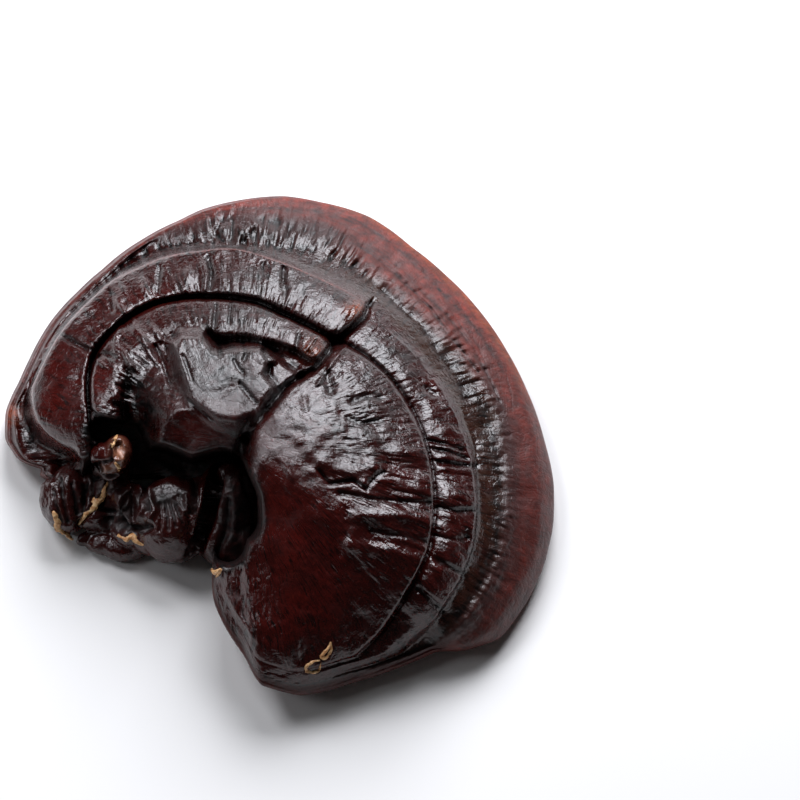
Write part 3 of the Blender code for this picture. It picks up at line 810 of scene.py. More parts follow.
def cap_top(angles):
    """Points of the cap's top with what its material reads: growth direction and tones."""
    radius, relief, zone = growth_rows(angles)
    column = HUB[0] + radius * np.cos(np.radians(angles))
    row = HUB[1] - radius * np.sin(np.radians(angles))
    share = radius / radius[-1]
    edge = value_round(OUTLINE_HEIGHT, angles)
    within = np.clip((1.0 - share) * RELIEF_FADE, 0.0, 1.0)
    around = np.arange(SPOKES) * np.mean(radius[-1]) * 2.0 * math.pi / SPOKES + 0.0 * radius
    height = edge + (DOME_TOP - edge) * dome_share(share, angles) + relief
    height += within * swelling(column, row)
    height = faceted(column, row, height) + within * stroked(column, row, STROKES)
    level = np.interp(row, *np.array(HOLLOW_HEIGHTS, float).T)
    height += hollowed(column, row) * np.minimum(level - height, 0.0)
    height += within * rough_skin(angles, column, row, around, radius, zone)
    growth = np.stack([around, radius], axis=-1) * MM_PER_PIXEL
    tones = crust_tones(angles + 0.0 * radius, column, row, height, zone + 0.0 * radius)
    return np.concatenate([point_at(column, row, height), growth, tones], axis=-1)


def outward(ring):
    """Unit directions out from a ring of points, level with the floor."""
    along = np.roll(ring, -1, axis=0) - np.roll(ring, 1, axis=0)
    normal = np.stack([-along[:, 1], along[:, 0], np.zeros(len(ring))], axis=-1)
    normal /= np.linalg.norm(normal, axis=1)[:, None]
    for _ in range(3):
        normal = (np.roll(normal, 3, axis=0) + normal + np.roll(normal, -3, axis=0)) / 3.0
    return normal


def rim_anchors(last, rim, angles):
    """Rings over the rounded rim: it swells away from the traced view and tucks in towards it."""
    foot = np.maximum(value_round(RIM_FOOT, angles), 0.0)
    out = outward(rim[:, :3])
    drop = rim[:, 2] - foot
    behind = np.clip(out[:, 1], 0.0, 1.0)
    front = np.clip(-out[:, 1], 0.0, 1.0)
    face_out = FACE_OUT * (1.0 - front) + FACE_OUT_BEHIND * behind - FACE_LEAN * drop * front
    foot_out = (face_out - FOOT_IN) * (1.0 - front) - (FOOT_LEAN * drop + FOOT_STEP) * front
    rings = [last, rim]
    for distance, level in ((face_out, FACE_LEVEL), (foot_out, 0.0)):
        ring = rim.copy()
        ring[:, :3] += out * distance[:, None]
        ring[:, 2] = level * rim[:, 2] + (1.0 - level) * foot
        ring[:, 4] += RIM_GROWTH * (len(rings) - 1)
        rings.append(ring)
    return rings


def underside_anchors(tuck, angles, lift, shares):
    """Rings from the foot of the rim to the middle of the underside, lifted a little."""
    power = value_round(UNDERSIDE_POWER, angles)
    centre = underside_centre(lift, tuck.shape[1])
    rings = []
    for share in shares:
        ring = tuck.copy()
        ring[:, :3] = centre[:3] + (tuck[:, :3] - centre[:3]) * share
        ring[:, 2] = tuck[:, 2] + lift + (UNDERSIDE_TOP - tuck[:, 2]) * (1.0 - share**power)
        rings.append(ring)
    return rings + [np.tile(centre, (len(tuck), 1))]


def underside_centre(lift, width):
    """The middle of the underside, as a row of so many values."""
    place = np.zeros(width)
    place[:3] = point_at(np.array(HUB[0]), np.array(HUB[1]), UNDERSIDE_TOP + lift)
    return place


def bridge(first, second):
    """Faces between two rings of vertex numbers. One ring may have twice as many as the other."""
    faces = []
    n, m = len(first), len(second)
    for i in range(min(n, m)):
        j = (i + 1) % min(n, m)
        if n == m:
            faces.append((first[i], first[j], second[j], second[i]))
        elif m > n:
            a, b, c = second[2 * i], second[2 * i + 1], second[(2 * i + 2) % m]
            faces += [(first[i], b, a), (first[i], first[j], b), (first[j], c, b)]
        else:
            a, b, c = first[2 * i], first[2 * i + 1], first[(2 * i + 2) % n]
            faces += [(a, b, second[i]), (b, second[j], second[i]), (b, c, second[j])]
    return faces


def closed_shell(rings, first, last):
    """Points and faces of a closed skin over rings of points, with a point at each end."""
    points = np.concatenate([first[None], *rings, last[None]])
    starts = 1 + np.cumsum([0] + [len(ring) for ring in rings])
    numbers = [list(range(starts[i], starts[i + 1])) for i in range(len(rings))]
    faces = [(0, b, a) for a, b in zip(numbers[0], numbers[0][1:] + numbers[0][:1])]
    for inner, outer in zip(numbers, numbers[1:]):
        faces += bridge(inner, outer)
    end = len(points) - 1
    faces += [(a, b, end) for a, b in zip(numbers[-1], numbers[-1][1:] + numbers[-1][:1])]
    return points, faces


def new_object(name, data):
    """An object in the scene."""
    made = bpy.data.objects.new(name, data)
    bpy.context.scene.collection.objects.link(made)
    return made


def shell_object(name, shells):
    """A smooth mesh object made of closed shells, whose points are in millimetres."""
    points, faces = [], []
    for shell_points, shell_faces in shells:
        start = sum(len(group) for group in points)
        points.append(shell_points)
        faces += [tuple(start + corner for corner in face) for face in shell_faces]
    points = np.concatenate(points)
    mesh = bpy.data.meshes.new(name)
    mesh.from_pydata((points[:, :3] * MM).tolist(), [], faces)
    mesh.update()
    mesh.shade_smooth()
    return new_object(name, mesh), points


def write_tones(mesh, tones):
    """Gives the mesh the shares of colours and finishes that its material reads."""
    for name, values in tones.items():
        made = mesh.attributes.new(name, "FLOAT", "POINT")
        made.data.foreach_set("value", values.astype(np.float32))


def write_growth(mesh, growth):
    """Gives the mesh its millimetres along the growth lines and outwards."""
    level = np.concatenate([growth, np.zeros((len(growth), 1))], axis=1)
    made = mesh.attributes.new("growth", "FLOAT_VECTOR", "POINT")
    made.data.foreach_set("vector", level.astype(np.float32).ravel())


def thinned(rings):
    """The rings of the cap's top, with fewer points on those near the hub."""
    kept = [ring[::4] for ring in rings[1:QUARTER_ROWS]]
    kept += [ring[::2] for ring in rings[QUARTER_ROWS:HALF_ROWS]]
    return kept + list(rings[HALF_ROWS:])


def make_cap():
    """The cap's crust, from the hub over the top and round the rim, closed above the pores."""
    angles = spoke_angles()
    top = cap_top(angles)
    anchors = rim_anchors(top[-1 - TOP_ROWS[-1]], top[-1], angles)
    tuck = anchors[-1]
    rim = smooth_between(anchors, (1,) + RIM_ROWS)[2:]
    hidden = underside_anchors(tuck, angles, PORE_LAYER / 2.0, UNDERSIDE_SHARES)
    rings = thinned(top) + list(rim) + [hidden[0][::2]] + [ring[::4] for ring in hidden[1:-1]]
    shell = closed_shell(rings, top[0][0], underside_centre(PORE_LAYER / 2.0, top.shape[2]))
    cap, points = shell_object("cap_crust", [shell])
    write_growth(cap.data, points[:, 3:5])
    write_tones(cap.data, dict(zip(TONES, points[:, 5:].T)))
    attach(cap, "root")
    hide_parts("cap")
    return cap, tuck[::2, :3], angles[::2]


def make_pore_layer(tuck, angles):
    """The pale layer of tubes that covers the underside inside the rim."""
    shares = (PORE_EDGE,) + UNDERSIDE_SHARES
    low = smooth_between(underside_anchors(tuck, angles, 0.0, shares), PORE_ROWS)[:-1]
    high = underside_anchors(tuck, angles, PORE_LAYER, shares)[:-1]
    lumps = uneven(PORE_LUMPS, low[:, :, 0], low[:, :, 1])
    lumps += uneven(FINE_PORE_LUMPS, low[:, :, 0], low[:, :, 1])
    depth = PORE_LUMP_DEPTH * (1.0 + lumps) * ramp(low[:, :, 2], 0.5, 3.0)
    low[:, :, 2] = np.maximum(low[:, :, 2] - depth, 0.0)
    rings = high[::-1] + list(low)
    shell = closed_shell(rings, underside_centre(PORE_LAYER, 3), underside_centre(0.0, 3))
    layer, _ = shell_object("pore_layer", [shell])
    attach(layer, "root")
    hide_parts("cap")
    return layer


# The stem's lobes, each an egg: column, row and height of its middle, its half sizes along, across
# and up in millimetres, and its turn in degrees seen from above
STEM_LOBES = [
    (150, 512, 7.0, 25.0, 6.5, 6.5, 0), (210, 505, 12.0, 12.0, 8.0, 8.0, 0),
    (62, 505, 7.0, 5.6, 8.5, 7.5, 25), (72, 492, 8.0, 5.5, 7.5, 7.5, 15),
    (85, 500, 7.0, 6.0, 7.0, 5.5, 0), (103, 457, 24.0, 3.3, 3.6, 3.8, 0),
    (118, 453, 25.0, 3.8, 5.0, 5.0, 0), (110, 468, 22.0, 3.4, 3.2, 3.8, 0),
    (112, 475, 15.0, 4.6, 4.6, 8.0, 0), (112, 492, 12.0, 4.6, 3.0, 4.0, 0),
    (98, 488, 9.0, 4.0, 6.0, 7.0, 0), (130, 515, 9.0, 6.5, 9.0, 8.5, 10),
    (150, 530, 8.0, 6.0, 7.0, 7.0, 0), (173, 520, 10.0, 10.0, 12.0, 11.0, 0),
    (207, 507, 11.5, 3.4, 12.5, 11.0, -14), (234, 500, 15.0, 7.0, 10.0, 11.0, 0),
    (230, 534, 8.0, 9.5, 9.5, 9.0, 0), (246, 540, 8.0, 5.0, 7.0, 8.0, 0),
    (88, 539, 2.5, 3.2, 1.8, 2.2, 15), (94, 545, 2.2, 2.4, 1.6, 1.8, -20),
    (106, 544, 3.0, 4.6, 3.0, 3.0, 0), (125, 547, 3.0, 7.0, 4.0, 3.4, 0),
]
STEM_GRAIN = 0.42

# Folds, creases and torn hollows of the stem, traced and sized like the cap's
STEM_STROKES = [
    ([(137, 482), (142, 501), (145, 508), (139, 520), (140, 532)], 1.8, 1.1),
    ([(131, 489), (127, 506), (118, 512)], 1.6, 0.9),
    ([(134, 486), (133, 508), (133, 526)], 1.6, -0.8),
    ([(149, 484), (152, 500), (156, 511), (148, 523), (140, 532)], 2.2, 1.2),
    ([(147, 490), (148, 510)], 2.2, -1.2),
    ([(146, 527), (132, 531), (118, 529), (104, 524)], 5, -3.0),
    ([(104, 508), (112, 516), (118, 524)], 8, -4.5),
    ([(219, 462), (214, 487), (208, 515), (199, 540), (189, 564)], 4.5, -6.0),
    ([(193, 474), (195, 500), (192, 512)], 3.0, -2.2),
    ([(160, 503), (161, 518), (159, 531)], 1.3, -0.8),
    ([(165, 502), (167, 517), (168, 530)], 1.3, -0.85),
    ([(169, 501), (173, 514), (176, 527)], 1.3, -0.85),
    ([(173, 499), (178, 511), (183, 523)], 1.3, -0.85),
    ([(176, 497), (183, 507), (189, 518)], 1.3, -0.8),
    ([(179, 495), (187, 503), (194, 511)], 1.3, -0.75), ([(172, 499), (178, 504)], 1.6, 0.9),
    ([(180, 506), (184, 512)], 1.6, 0.9), ([(185, 496), (187, 505)], 1.6, 0.8),
    ([(244, 478), (255, 505), (257, 535), (250, 560)], 3.0, -3.0),
    ([(228, 500), (226, 530), (216, 555)], 5, -1.6),
    ([(107, 482), (101, 497), (91, 509), (79, 524)], 2.6, -1.8),
    ([(96, 478), (108, 480), (124, 477)], 3.0, -2.4), ([(110, 447), (110, 462)], 1.8, -1.2),
    ([(99, 463), (112, 461)], 1.6, -0.9), ([(113, 440), (117, 450), (123, 460)], 1.5, 0.6),
    ([(60, 478), (64, 500), (68, 522)], 2.2, -1.3), ([(53, 490), (55, 505), (62, 524)], 2.0, -0.9),
    ([(72, 484), (76, 500), (78, 514)], 2.0, -1.0), ([(86, 484), (84, 500), (82, 512)], 2.0, -1.2),
    ([(90, 470), (93, 484), (92, 500)], 2.0, -1.2),
]

# Flat facets of the stem, given like the cap's, and the most that they move its skin
STEM_FACETS = [
    ([(140, 486), (164, 480), (196, 486), (202, 508), (180, 524), (158, 514)], 20.2, 0.07, -0.035, 10.0),
    ([(114, 441), (122, 442), (126, 452), (122, 461), (114, 458)], 28.0, 0.07, -0.042, 2.0),
    ([(92, 462), (100, 462), (104, 472), (98, 478), (92, 472)], 22.0, 0.1, -0.05, 2.0),
    ([(132, 490), (138, 508), (136, 524), (118, 510), (124, 498)], 14.0, 0.14, -0.09, 4.0),
]
FACET_REACH = 2.4

# The stem's roughness: heights and sizes in millimetres. It is twice as rough at its torn ends,
# which are given by the columns over which the left one fades and the right one comes in.
STEM_ROUGHNESS = ((0.35, 5.0), (0.2, 2.2), (0.06, 1.0))
TORN_LEFT = (70.0, 110.0)
TORN_RIGHT = (212.0, 226.0)

# Patches of the stem's colours, given like the cap's
STEM_RED_PATCHES = [
    (104, 455, 12, 14, 1.0), (190, 535, 22, 16, 0.7), (205, 500, 6, 30, 0.5),
    (150, 552, 20, 8, 0.5),
]
STEM_TAN_PATCHES = [(118, 450, 7, 12, 1.0), (108, 470, 8, 5, 0.4)]
STEM_BLOOM_PATCHES = [
    (169, 499, 24, 14, 1.0), (128, 508, 11, 18, 0.8), (97, 469, 7, 8, 0.8), (112, 489, 9, 5, 0.8),
]
# These patches are painted shade, in the stem's dark hollows
STEM_PAINTED_SHADE_PATCHES = [(118, 514, 13, 10, 1.0), (238, 520, 20, 60, 0.9), (90, 490, 16, 20, 0.5)]


def make_stem():
    """The stem: eggs grown into one lumpy body, flat where it rests, folded and torn."""
    eggs = bmesh.new()
    for column, row, height, along, across, up, turn in STEM_LOBES:
        centre = point_at(np.array(float(column)), np.array(float(row)), height) * MM
        turned = Euler((0.0, 0.0, math.radians(turn)))
        place = Matrix.LocRotScale(Vector(centre), turned, Vector((along, across, up)) * MM)
        bmesh.ops.create_icosphere(eggs, subdivisions=4, radius=1.0, matrix=place)
    mesh = bpy.data.meshes.new("stem_crust")
    eggs.to_mesh(mesh)
    eggs.free()
    stem = new_object("stem_crust", mesh)
    grown = stem.modifiers.new("grown together", "REMESH")
    grown.mode = "VOXEL"
    grown.voxel_size = STEM_GRAIN * MM
    soften = stem.modifiers.new("soften", "SMOOTH")
    soften.iterations = 3
    whole = bpy.data.meshes.new_from_object(stem.evaluated_get(bpy.context.evaluated_depsgraph_get()))
    stem.modifiers.clear()
    whole.name = "stem_crust"
    stem.data = whole
    bpy.data.meshes.remove(mesh)
    fold_stem(whole)
    whole.shade_smooth()
    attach(stem, "root")
    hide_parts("stem")
    return stem


def roughness_at(point):
    """How much the stem's skin stands out or in at a point, in millimetres."""
    return sum(height * noise.noise(Vector(point / size)) for height, size in STEM_ROUGHNESS)


def fold_stem(mesh):
    """Presses the traced folds into the side that the traced view shows, and roughens all sides."""
    count = len(mesh.vertices)
    points, normals = np.empty(count * 3), np.empty(count * 3)
    mesh.vertices.foreach_get("co", points)
    mesh.vertices.foreach_get("normal", normals)
    points, normals = points.reshape(-1, 3) / MM, normals.reshape(-1, 3)
    column, row = pixel_of(points)
    towards = np.array(EYE) - points
    towards /= np.linalg.norm(towards, axis=1)[:, None]
    facing = ramp(np.sum(normals * towards, axis=1), 0.0, 0.5)
    for shape in STEM_FACETS:
        share, plane = facet(column, row, *shape)
        change = np.clip(plane - points[:, 2], -FACET_REACH, FACET_REACH)
        points = point_at(column, row, points[:, 2] + facing * share * change)
    torn = 1.0 - ramp(column, *TORN_LEFT) + ramp(column, *TORN_RIGHT)
    rough = np.array([roughness_at(point) for point in points]) * (1.0 + torn)
    points += normals * (facing * stroked(column, row, STEM_STROKES) + rough)[:, None]
    points[:, 2] = np.maximum(points[:, 2], 0.0)
    mesh.vertices.foreach_set("co", (points * MM).ravel())
    mesh.update()
    # The deeper folds are drawn black, with dark resin and painted shade
    groove = facing * np.clip(stroked(column, row, dark_creases(STEM_STROKES, 0.8)), 0.0, 1.0)
    write_tones(mesh, {
        "red lacquer": patched(column, row, STEM_RED_PATCHES),
        "resin and painted shade": np.maximum(groove, patched(column, row, STEM_PAINTED_SHADE_PATCHES)),
        "matt bloom": patched(column, row, STEM_BLOOM_PATCHES),
        "tan skin": facing * patched(column, row, STEM_TAN_PATCHES),
    })


# Torn and chipped places where the tan flesh shows, as lines with their width in millimetres
TORN_FLESH = [
    ([(108, 481), (104, 489), (102, 497), (96, 501), (92, 509), (85, 514), (78, 525)], 2.3),
    ([(53, 511), (57, 520), (60, 529), (65, 533), (73, 540)], 1.8),
    ([(117, 435), (114, 442), (112, 448)], 1.2), ([(115, 462), (118, 466), (119, 471)], 1.2),
    ([(118, 535), (126, 539), (132, 536), (137, 541), (144, 545)], 1.8),
    ([(211, 569), (215, 572), (221, 570), (216, 577)], 1.6),
    ([(331, 642), (328, 648), (321, 656), (326, 657), (331, 650), (331, 642)], 1.1),
    ([(320, 660), (312, 662), (306, 667), (309, 672), (318, 670), (321, 663)], 1.1),
]
TUBE_SIDES = 8
DEEPEST_STEP = 1.5  # millimetres from one point of a line to the next, away from the eye


def make_torn_flesh(carriers):
    """Ragged ribbons of bare flesh, laid half into the crust where it is torn or chipped."""
    trees = [BVHTree.FromPolygons(
        [corner.co / MM for corner in carrier.data.vertices],
        [face.vertices[:] for face in carrier.data.polygons],
    ) for carrier in carriers]
    shells = []
    for line, width in TORN_FLESH:
        centres = smooth_between(np.array(line, float), (5,) * (len(line) - 1))
        centres = np.array(seen_places(trees, centres))
        centres[:, 2] = np.maximum(centres[:, 2], width / 2.0)
        shells.append(ragged_tube(centres, width / 2.0, 60 + len(shells)))
    flesh, _ = shell_object("torn_flesh", shells)
    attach(flesh, "root")
    return flesh


def seen_places(trees, line):
    """The points of the mushroom that the traced view shows along a line, without deep jumps."""
    eye = Vector(EYE)
    aims = [(Vector(place) - eye).normalized() for place in point_at(*line.T, 0.0)]
    hits = [[tree.ray_cast(eye, aim)[3] for tree in trees] for aim in aims]
    depths = [min([far for far in found if far is not None], default=math.nan) for found in hits]
    known = np.flatnonzero(~np.isnan(depths))
    depths = np.interp(np.arange(len(aims)), known, np.array(depths)[known])
    for i in range(1, len(aims)):
        depths[i] = depths[i - 1] + np.clip(depths[i] - depths[i - 1], -DEEPEST_STEP, DEEPEST_STEP)
    return [eye + float(depth) * aim for depth, aim in zip(depths, aims)]


def ragged_tube(centres, radius, seed):
    """A closed, flattened tube along a line, thin at both ends and uneven between."""
    turn = np.linspace(0.0, 2.0 * math.pi, TUBE_SIDES, endpoint=False)
    rings = []
    for i, centre in enumerate(centres):
        ahead = centres[min(i + 1, len(centres) - 1)] - centres[max(i - 1, 0)]
        ahead /= np.linalg.norm(ahead)
        side = np.cross(ahead, (0.0, 0.0, 1.0))
        side /= np.linalg.norm(side)
        lift = np.cross(side, ahead)
        thick = radius * (0.35 + 0.65 * math.sin(math.pi * (i + 0.5) / len(centres)))
        ragged = 1.0 + 0.55 * lattice_noise(turn * 1.5, np.full(TUBE_SIDES, i * 0.7), seed)
        ring = np.outer(np.cos(turn), side) + 0.6 * np.outer(np.sin(turn), lift)
        rings.append(centre + thick * ragged[:, None] * ring)
    return closed_shell(rings, centres[0], centres[-1])


# Colours of the lacquered crust, of what shows through and under it, and of the studio
OXBLOOD = "#300907"
RED_LACQUER = "#430c08"
# Black of the resin, also laid as painted shade in grooves, creases and hollows
RESIN_AND_SHADE_BLACK = "#040202"
# Paler red of the lacquer's flecks, partly painted glints off its fine wrinkles
FLECK_AND_GLINT = "#6e241a"
BLOOM = "#1a1412"
OLIVE = "#371f15"
RUSSET = "#8c2f20"
ORANGE = "#a24a20"
DUSTY = "#3e1f1b"
DARK_LINE = "#260c09"
TAN_SKIN = "#b0775a"
FLESH_BROWN = "#b06c36"
TAN_FLESH = "#ffd9a0"
PORE_TAN = "#7d5c3d"
PORE_BROWN = "#3a2517"
PALE_PAPER = "#f4f3f1"
SOFT_LIGHT = "#f6f8ff"

# Colours laid over the red lacquer in turn: the tone, the colour, its patches in millimetres
CAP_COLOURS = (
    ("matt bloom", BLOOM, 3.0), ("olive band", OLIVE, 5.0), ("russet rim", RUSSET, 3.0),
    ("orange edge", ORANGE, 2.0),
)
STEM_COLOURS = (
    ("matt bloom", BLOOM, 3.0), ("tan skin", TAN_SKIN, 2.0), ("resin and painted shade", RESIN_AND_SHADE_BLACK, 2.0),
)

# Index of refraction of resin and of dry, corky flesh
RESIN_IOR = 1.42
CORK_IOR = 1.45


def linear(code):
    """An sRGB hex colour as the linear values that Blender takes."""
    parts = [int(code[i:i + 2], 16) / 255.0 for i in (1, 3, 5)]
    return tuple(p / 12.92 if p <= 0.04045 else ((p + 0.055) / 1.055) ** 2.4 for p in parts) + (1.0,)


def add_node(tree, kind, settings=None, links=None):
    """Adds a shader node with its settings and links.

    A setting is the node's own, or an input's by its name or number. A link comes from a socket, or
    from a node, which then gives its first output.
    """
    node = tree.nodes.new("ShaderNode" + kind)
    for key, value in (settings or {}).items():
        if hasattr(node, str(key)):
            setattr(node, key, value)
        else:
            node.inputs[key].default_value = value
    for key, source in (links or {}).items():
        tree.links.new(source.outputs[0] if hasattr(source, "outputs") else source, node.inputs[key])
    return node


def new_material(name):
    """An empty material and its node tree."""
    made = bpy.data.materials.new(name)
    made.use_nodes = True
    made.node_tree.nodes.clear()
    return made, made.node_tree


def surface_values(tree, names):
    """The place on the object, and the shares that the mesh gives by name."""
    place = add_node(tree, "TexCoord").outputs["Object"]
    tone = {name: add_node(tree, "Attribute", {"attribute_name": name}).outputs["Fac"] for name in names}
    return place, tone


def per_metre(size):
    """The scale of a pattern whose features are so many millimetres wide."""
    return 1.0 / (size * MM)


def mottled(tree, place, first, second, size, share):
    """One colour into another by a share, broken up by patches of a size in millimetres."""
    patches = add_node(tree, "TexNoise", {"Scale": per_metre(size), "Detail": 4.0}, {"Vector": place})
    spread = {"From Min": 0.32, "From Max": 0.68, "To Min": 0.25, "To Max": 1.35}
    spread = add_node(tree, "MapRange", spread, {"Value": patches})
    amount = add_node(tree, "Math", {"operation": "MULTIPLY", "use_clamp": True}, {0: spread, 1: share})
    settings, links = {"data_type": "RGBA", 7: linear(second)}, {0: amount}
    if isinstance(first, str):
        settings[6] = linear(first)
    else:
        links[6] = first
    return add_node(tree, "Mix", settings, links).outputs[2]


def flecked_with_glints(tree, place, colour):
    """The colour with small paler red flecks: mottling of the lacquer, and painted glints off its fine
    wrinkles.
    """
    spots = add_node(tree, "TexNoise", {"Scale": per_metre(1.1), "Detail": 3.0}, {"Vector": place})
    share = {"From Min": 0.54, "From Max": 0.72, "To Max": 0.22}
    share = add_node(tree, "MapRange", share, {"Value": spots})
    return mottled(tree, place, colour, FLECK_AND_GLINT, 9.0, share.outputs[0])


def crust_shader(tree, place, colour, matt, normal):
    """The glossy, resin-like surface itself, shinier in some places than in others."""
    gloss = add_node(tree, "TexNoise", {"Scale": per_metre(4.0), "Detail": 3.0}, {"Vector": place})
    rough = {"From Min": 0.35, "From Max": 0.65, "To Min": 0.18, "To Max": 0.3}
    rough = add_node(tree, "MapRange", rough, {"Value": gloss})
    rougher = add_node(tree, "Math", {"operation": "MULTIPLY_ADD", 1: 0.35}, {0: matt, 2: rough})
    coat = add_node(tree, "Math", {"operation": "MULTIPLY_ADD", 1: -0.3, 2: 0.3}, {0: matt})
    shader = add_node(tree, "BsdfPrincipled", {"IOR": RESIN_IOR, "Coat Roughness": 0.12}, {
        "Base Color": colour, "Roughness": rougher, "Normal": normal,
        "Coat Weight": coat, "Coat Normal": normal,
    })
    add_node(tree, "OutputMaterial", links={"Surface": shader})


def leathery_bump(tree, place, red):
    """Fine grain and shallow cracks of dried lacquer, coarser than they are so that they show.

    Clear red lacquer has less of the grain, and so mirrors more sharply.
    """
    depth = add_node(tree, "Math", {"operation": "MULTIPLY_ADD", 1: -0.65, 2: 1.0}, {0: red})
    grain = {"Scale": per_metre(1.5), "Detail": 3.0, "Roughness": 0.62}
    grain = add_node(tree, "TexNoise", grain, {"Vector": place})
    low = add_node(tree, "Bump", {"Distance": 0.25 * MM}, {"Height": grain, "Strength": depth})
    shift = add_node(tree, "TexNoise", {"Scale": per_metre(3.0)}, {"Vector": place}).outputs["Color"]
    moved = {"operation": "MULTIPLY_ADD", 1: (3.0 * MM, 3.0 * MM, 3.0 * MM)}
    moved = add_node(tree, "VectorMath", moved, {0: shift, 2: place})
    cracks = {"feature": "DISTANCE_TO_EDGE", "Scale": per_metre(4.0)}
    cracks = add_node(tree, "TexVoronoi", cracks, {"Vector": moved})
    sharp = add_node(tree, "MapRange", {"From Max": 0.1}, {"Value": cracks})
    bump = {"Strength": 0.5, "Distance": 0.06 * MM}
    return add_node(tree, "Bump", bump, {"Height": sharp, "Normal": low}).outputs[0]


def drawn_out(tree, growth, along, outwards, detail):
    """A pattern that is so many millimetres long along the growth lines, and outwards."""
    shrunk = {"operation": "MULTIPLY", 1: (1.0 / along, 1.0 / outwards, 0.0)}
    shrunk = add_node(tree, "VectorMath", shrunk, {0: growth})
    return add_node(tree, "TexNoise", {"Scale": 1.0, "Detail": detail}, {"Vector": shrunk})


def lacquered_cap_crust():
    """Reishi cap crust: a hard skin of dark red resin over growth rings, glossy like wet lacquer."""
    made, tree = new_material("lacquered cap crust")
    place, tone = surface_values(tree, TONES)
    colour = mottled(tree, place, OXBLOOD, RED_LACQUER, 7.0, tone["red lacquer"])
    colour = flecked_with_glints(tree, place, colour)
    for name, code, size in CAP_COLOURS:
        colour = mottled(tree, place, colour, code, size, tone[name])
    # Millimetres along the growth lines and outwards, swaying a little so that no line is straight
    level = add_node(tree, "Attribute", {"attribute_name": "growth"}).outputs["Vector"]
    sway = add_node(tree, "TexNoise", {"Scale": per_metre(12.0), "Detail": 1.0}, {"Vector": place})
    growth = {"operation": "MULTIPLY_ADD", 1: (8.0, 3.0, 0.0)}
    growth = add_node(tree, "VectorMath", growth, {0: sway.outputs["Color"], 2: level})
    # The rim is dusty brown, with dark lines along its growth that are 1 mm wide and 16 mm long
    dusty = add_node(tree, "Math", {"operation": "MULTIPLY", 1: 0.5}, {0: tone["dull rim"]})
    colour = mottled(tree, place, colour, DUSTY, 3.5, dusty.outputs[0])
    lines = drawn_out(tree, growth, 16.0, 1.0, 2.0)
    streaks = {"From Min": 0.52, "From Max": 0.8, "To Max": 0.7}
    streaks = add_node(tree, "MapRange", streaks, {"Value": lines})
    streaks = add_node(tree, "Math", {"operation": "MULTIPLY"}, {0: streaks, 1: tone["dull rim"]})
    colour = mottled(tree, place, colour, DARK_LINE, 4.0, streaks.outputs[0])
    # Elsewhere the fine valleys that run outwards, 0.8 mm wide and 4 mm long, are black with resin and
    # painted shade
    fibres = drawn_out(tree, growth, 0.8, 4.0, 3.0)
    valleys = {"From Min": 0.5, "From Max": 0.38, "To Max": 0.75}
    valleys = add_node(tree, "MapRange", valleys, {"Value": fibres})
    glossy = {"operation": "MULTIPLY_ADD", 1: -0.8, 2: 1.0}
    glossy = add_node(tree, "Math", glossy, {0: tone["dull rim"]})
    valleys = add_node(tree, "Math", {"operation": "MULTIPLY"}, {0: valleys, 1: glossy})
    colour = mottled(tree, place, colour, RESIN_AND_SHADE_BLACK, 6.0, valleys.outputs[0])
    # Black resin and painted shade in the grooves, creases and hollow
    colour = mottled(tree, place, colour, RESIN_AND_SHADE_BLACK, 2.0, tone["resin and painted shade"])
    # The lines and valleys are sunk as well as dark
    height = {"operation": "MULTIPLY_ADD", 1: -1.0}
    height = add_node(tree, "Math", height, {0: streaks, 2: fibres})
    skin = leathery_bump(tree, place, tone["red lacquer"])
    bump = {"Strength": 1.0, "Distance": 0.1 * MM}
    bump = add_node(tree, "Bump", bump, {"Height": height, "Normal": skin})
    matt = {"operation": "MULTIPLY_ADD", 1: 0.25}
    matt = add_node(tree, "Math", matt, {0: tone["matt bloom"], 2: tone["dull rim"]})
    crust_shader(tree, place, colour, matt, bump)
    return made


def lacquered_stem_crust():
    """Reishi stem crust: the same resin, nearly black, and black with painted shade in its folds and
    hollows.
    """
    made, tree = new_material("lacquered stem crust")
    place, tone = surface_values(tree, ("red lacquer", "resin and painted shade", "matt bloom", "tan skin"))
    colour = mottled(tree, place, OXBLOOD, RED_LACQUER, 5.0, tone["red lacquer"])
    colour = flecked_with_glints(tree, place, colour)
    for name, code, size in STEM_COLOURS:
        colour = mottled(tree, place, colour, code, size, tone[name])
    matt = {"operation": "MULTIPLY_ADD", 1: 0.6, "use_clamp": True}
    matt = add_node(tree, "Math", matt, {0: tone["matt bloom"], 2: tone["resin and painted shade"]})
    crust_shader(tree, place, colour, matt, leathery_bump(tree, place, tone["red lacquer"]))
    return made


def corky_shader(tree, colour, height, roughness):
    """A dry surface without resin, whose pattern is raised as well as coloured."""
    bump = add_node(tree, "Bump", {"Strength": 0.8, "Distance": 0.3 * MM}, {"Height": height})
    shader = add_node(tree, "BsdfPrincipled", {"Roughness": roughness, "IOR": CORK_IOR},
                      {"Base Color": colour, "Normal": bump})
    add_node(tree, "OutputMaterial", links={"Surface": shader})


def pore_surface():
    """Reishi pore surface: matt tan mouths of tubes, drawn at 0.8 mm where real ones are 0.2 mm."""
    made, tree = new_material("pore surface")
    place, _ = surface_values(tree, ())
    pores = add_node(tree, "TexVoronoi", {"Scale": per_metre(0.8), "Randomness": 0.6}, {"Vector": place})
    mouths = add_node(tree, "MapRange", {"From Min": 0.15, "From Max": 0.45}, {"Value": pores})
    share = add_node(tree, "Math", {"operation": "SUBTRACT", 0: 1.0}, {1: mouths})
    colour = mottled(tree, place, PORE_TAN, PORE_BROWN, 12.0, share.outputs[0])
    corky_shader(tree, colour, mouths, 0.85)
    return made


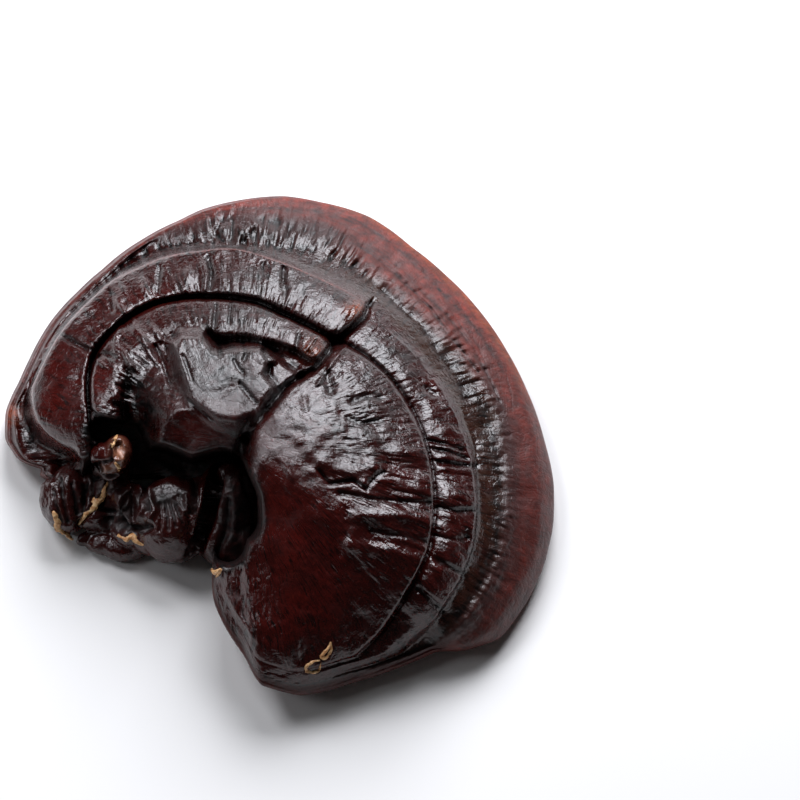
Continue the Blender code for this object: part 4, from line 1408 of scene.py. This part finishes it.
def torn_flesh():
    """Reishi flesh: corky, fibrous and golden tan where the crust has torn away."""
    made, tree = new_material("torn corky flesh")
    place, _ = surface_values(tree, ())
    fibres = add_node(tree, "TexNoise", {"Scale": per_metre(0.8), "Detail": 4.0}, {"Vector": place})
    colour = mottled(tree, place, FLESH_BROWN, TAN_FLESH, 0.8, fibres.outputs[0])
    corky_shader(tree, colour, fibres, 0.4)
    return made


def matt_paper():
    """Plain pale studio paper: no shine and no texture."""
    made, tree = new_material("pale matt paper")
    shader = add_node(tree, "BsdfPrincipled", {"Base Color": linear(PALE_PAPER), "Roughness": 0.9})
    add_node(tree, "OutputMaterial", links={"Surface": shader})
    return made


# The studio, in metres: half the floor's width, and for each light where it stands, how wide and
# high it is, and its power in watts. All of them shine at the mushroom.
FLOOR_REACH = 3.0
LIGHTS = {
    "softbox behind": ((0.17, 0.72, 0.67), (0.6, 0.62), 16.0),
    "light behind the stem": ((-0.47, 0.38, 0.77), (0.36, 0.34), 4.4),
    "side light": ((-0.75, -0.15, 0.64), (0.3, 0.3), 1.0),
}
ROOM_LIGHT = 0.03
SENSOR_WIDTH = 36.0  # millimetres
FARTHEST_VIEW = 20.0


def make_floor():
    """The pale floor that the mushroom lies on."""
    near, far = -FLOOR_REACH, FLOOR_REACH
    mesh = bpy.data.meshes.new("floor")
    corners = [(near, near, 0), (far, near, 0), (far, far, 0), (near, far, 0)]
    mesh.from_pydata(corners, [], [(0, 1, 2, 3)])
    mesh.materials.append(matt_paper())
    floor = new_object("floor", mesh)


def make_lights():
    """Soft lights behind and beside the mushroom, and a little light from all round."""
    for name, (place, size, power) in LIGHTS.items():
        data = bpy.data.lights.new(name, "AREA")
        data.shape = "RECTANGLE"
        data.size, data.size_y = size
        data.energy = power
        data.color = linear(SOFT_LIGHT)[:3]
        light = new_object(name, data)
        light.location = place
        x, y, z = place
        light.rotation_euler = (math.atan2(math.hypot(x, y), z), 0.0, math.atan2(x, -y))
    world = bpy.data.worlds.new("studio")
    world.use_nodes = True
    background = world.node_tree.nodes["Background"].inputs
    background["Color"].default_value = (1, 1, 1, 1)
    background["Strength"].default_value = ROOM_LIGHT
    bpy.context.scene.world = world


def make_camera():
    """The camera, at the eye of the traced view."""
    data = bpy.data.cameras.new("camera")
    data.sensor_width = SENSOR_WIDTH
    data.lens = FOCAL_PIXELS / PICTURE_SIZE * SENSOR_WIDTH
    data.clip_end = FARTHEST_VIEW
    camera = new_object("camera", data)
    camera.location = [side * MM for side in EYE]
    camera.rotation_euler = (math.pi / 2.0 - VIEW_TILT, 0.0, 0.0)
    bpy.context.scene.camera = camera


bpy.context.scene.view_settings.view_transform = "Standard"
make_camera()
make_lights()
make_floor()
cap, rim_foot, rim_angles = make_cap()
pore_layer = make_pore_layer(rim_foot, rim_angles)
stem = make_stem()
flesh = make_torn_flesh([cap, stem])
cap.data.materials.append(lacquered_cap_crust())
pore_layer.data.materials.append(pore_surface())
stem.data.materials.append(lacquered_stem_crust())
flesh.data.materials.append(torn_flesh())
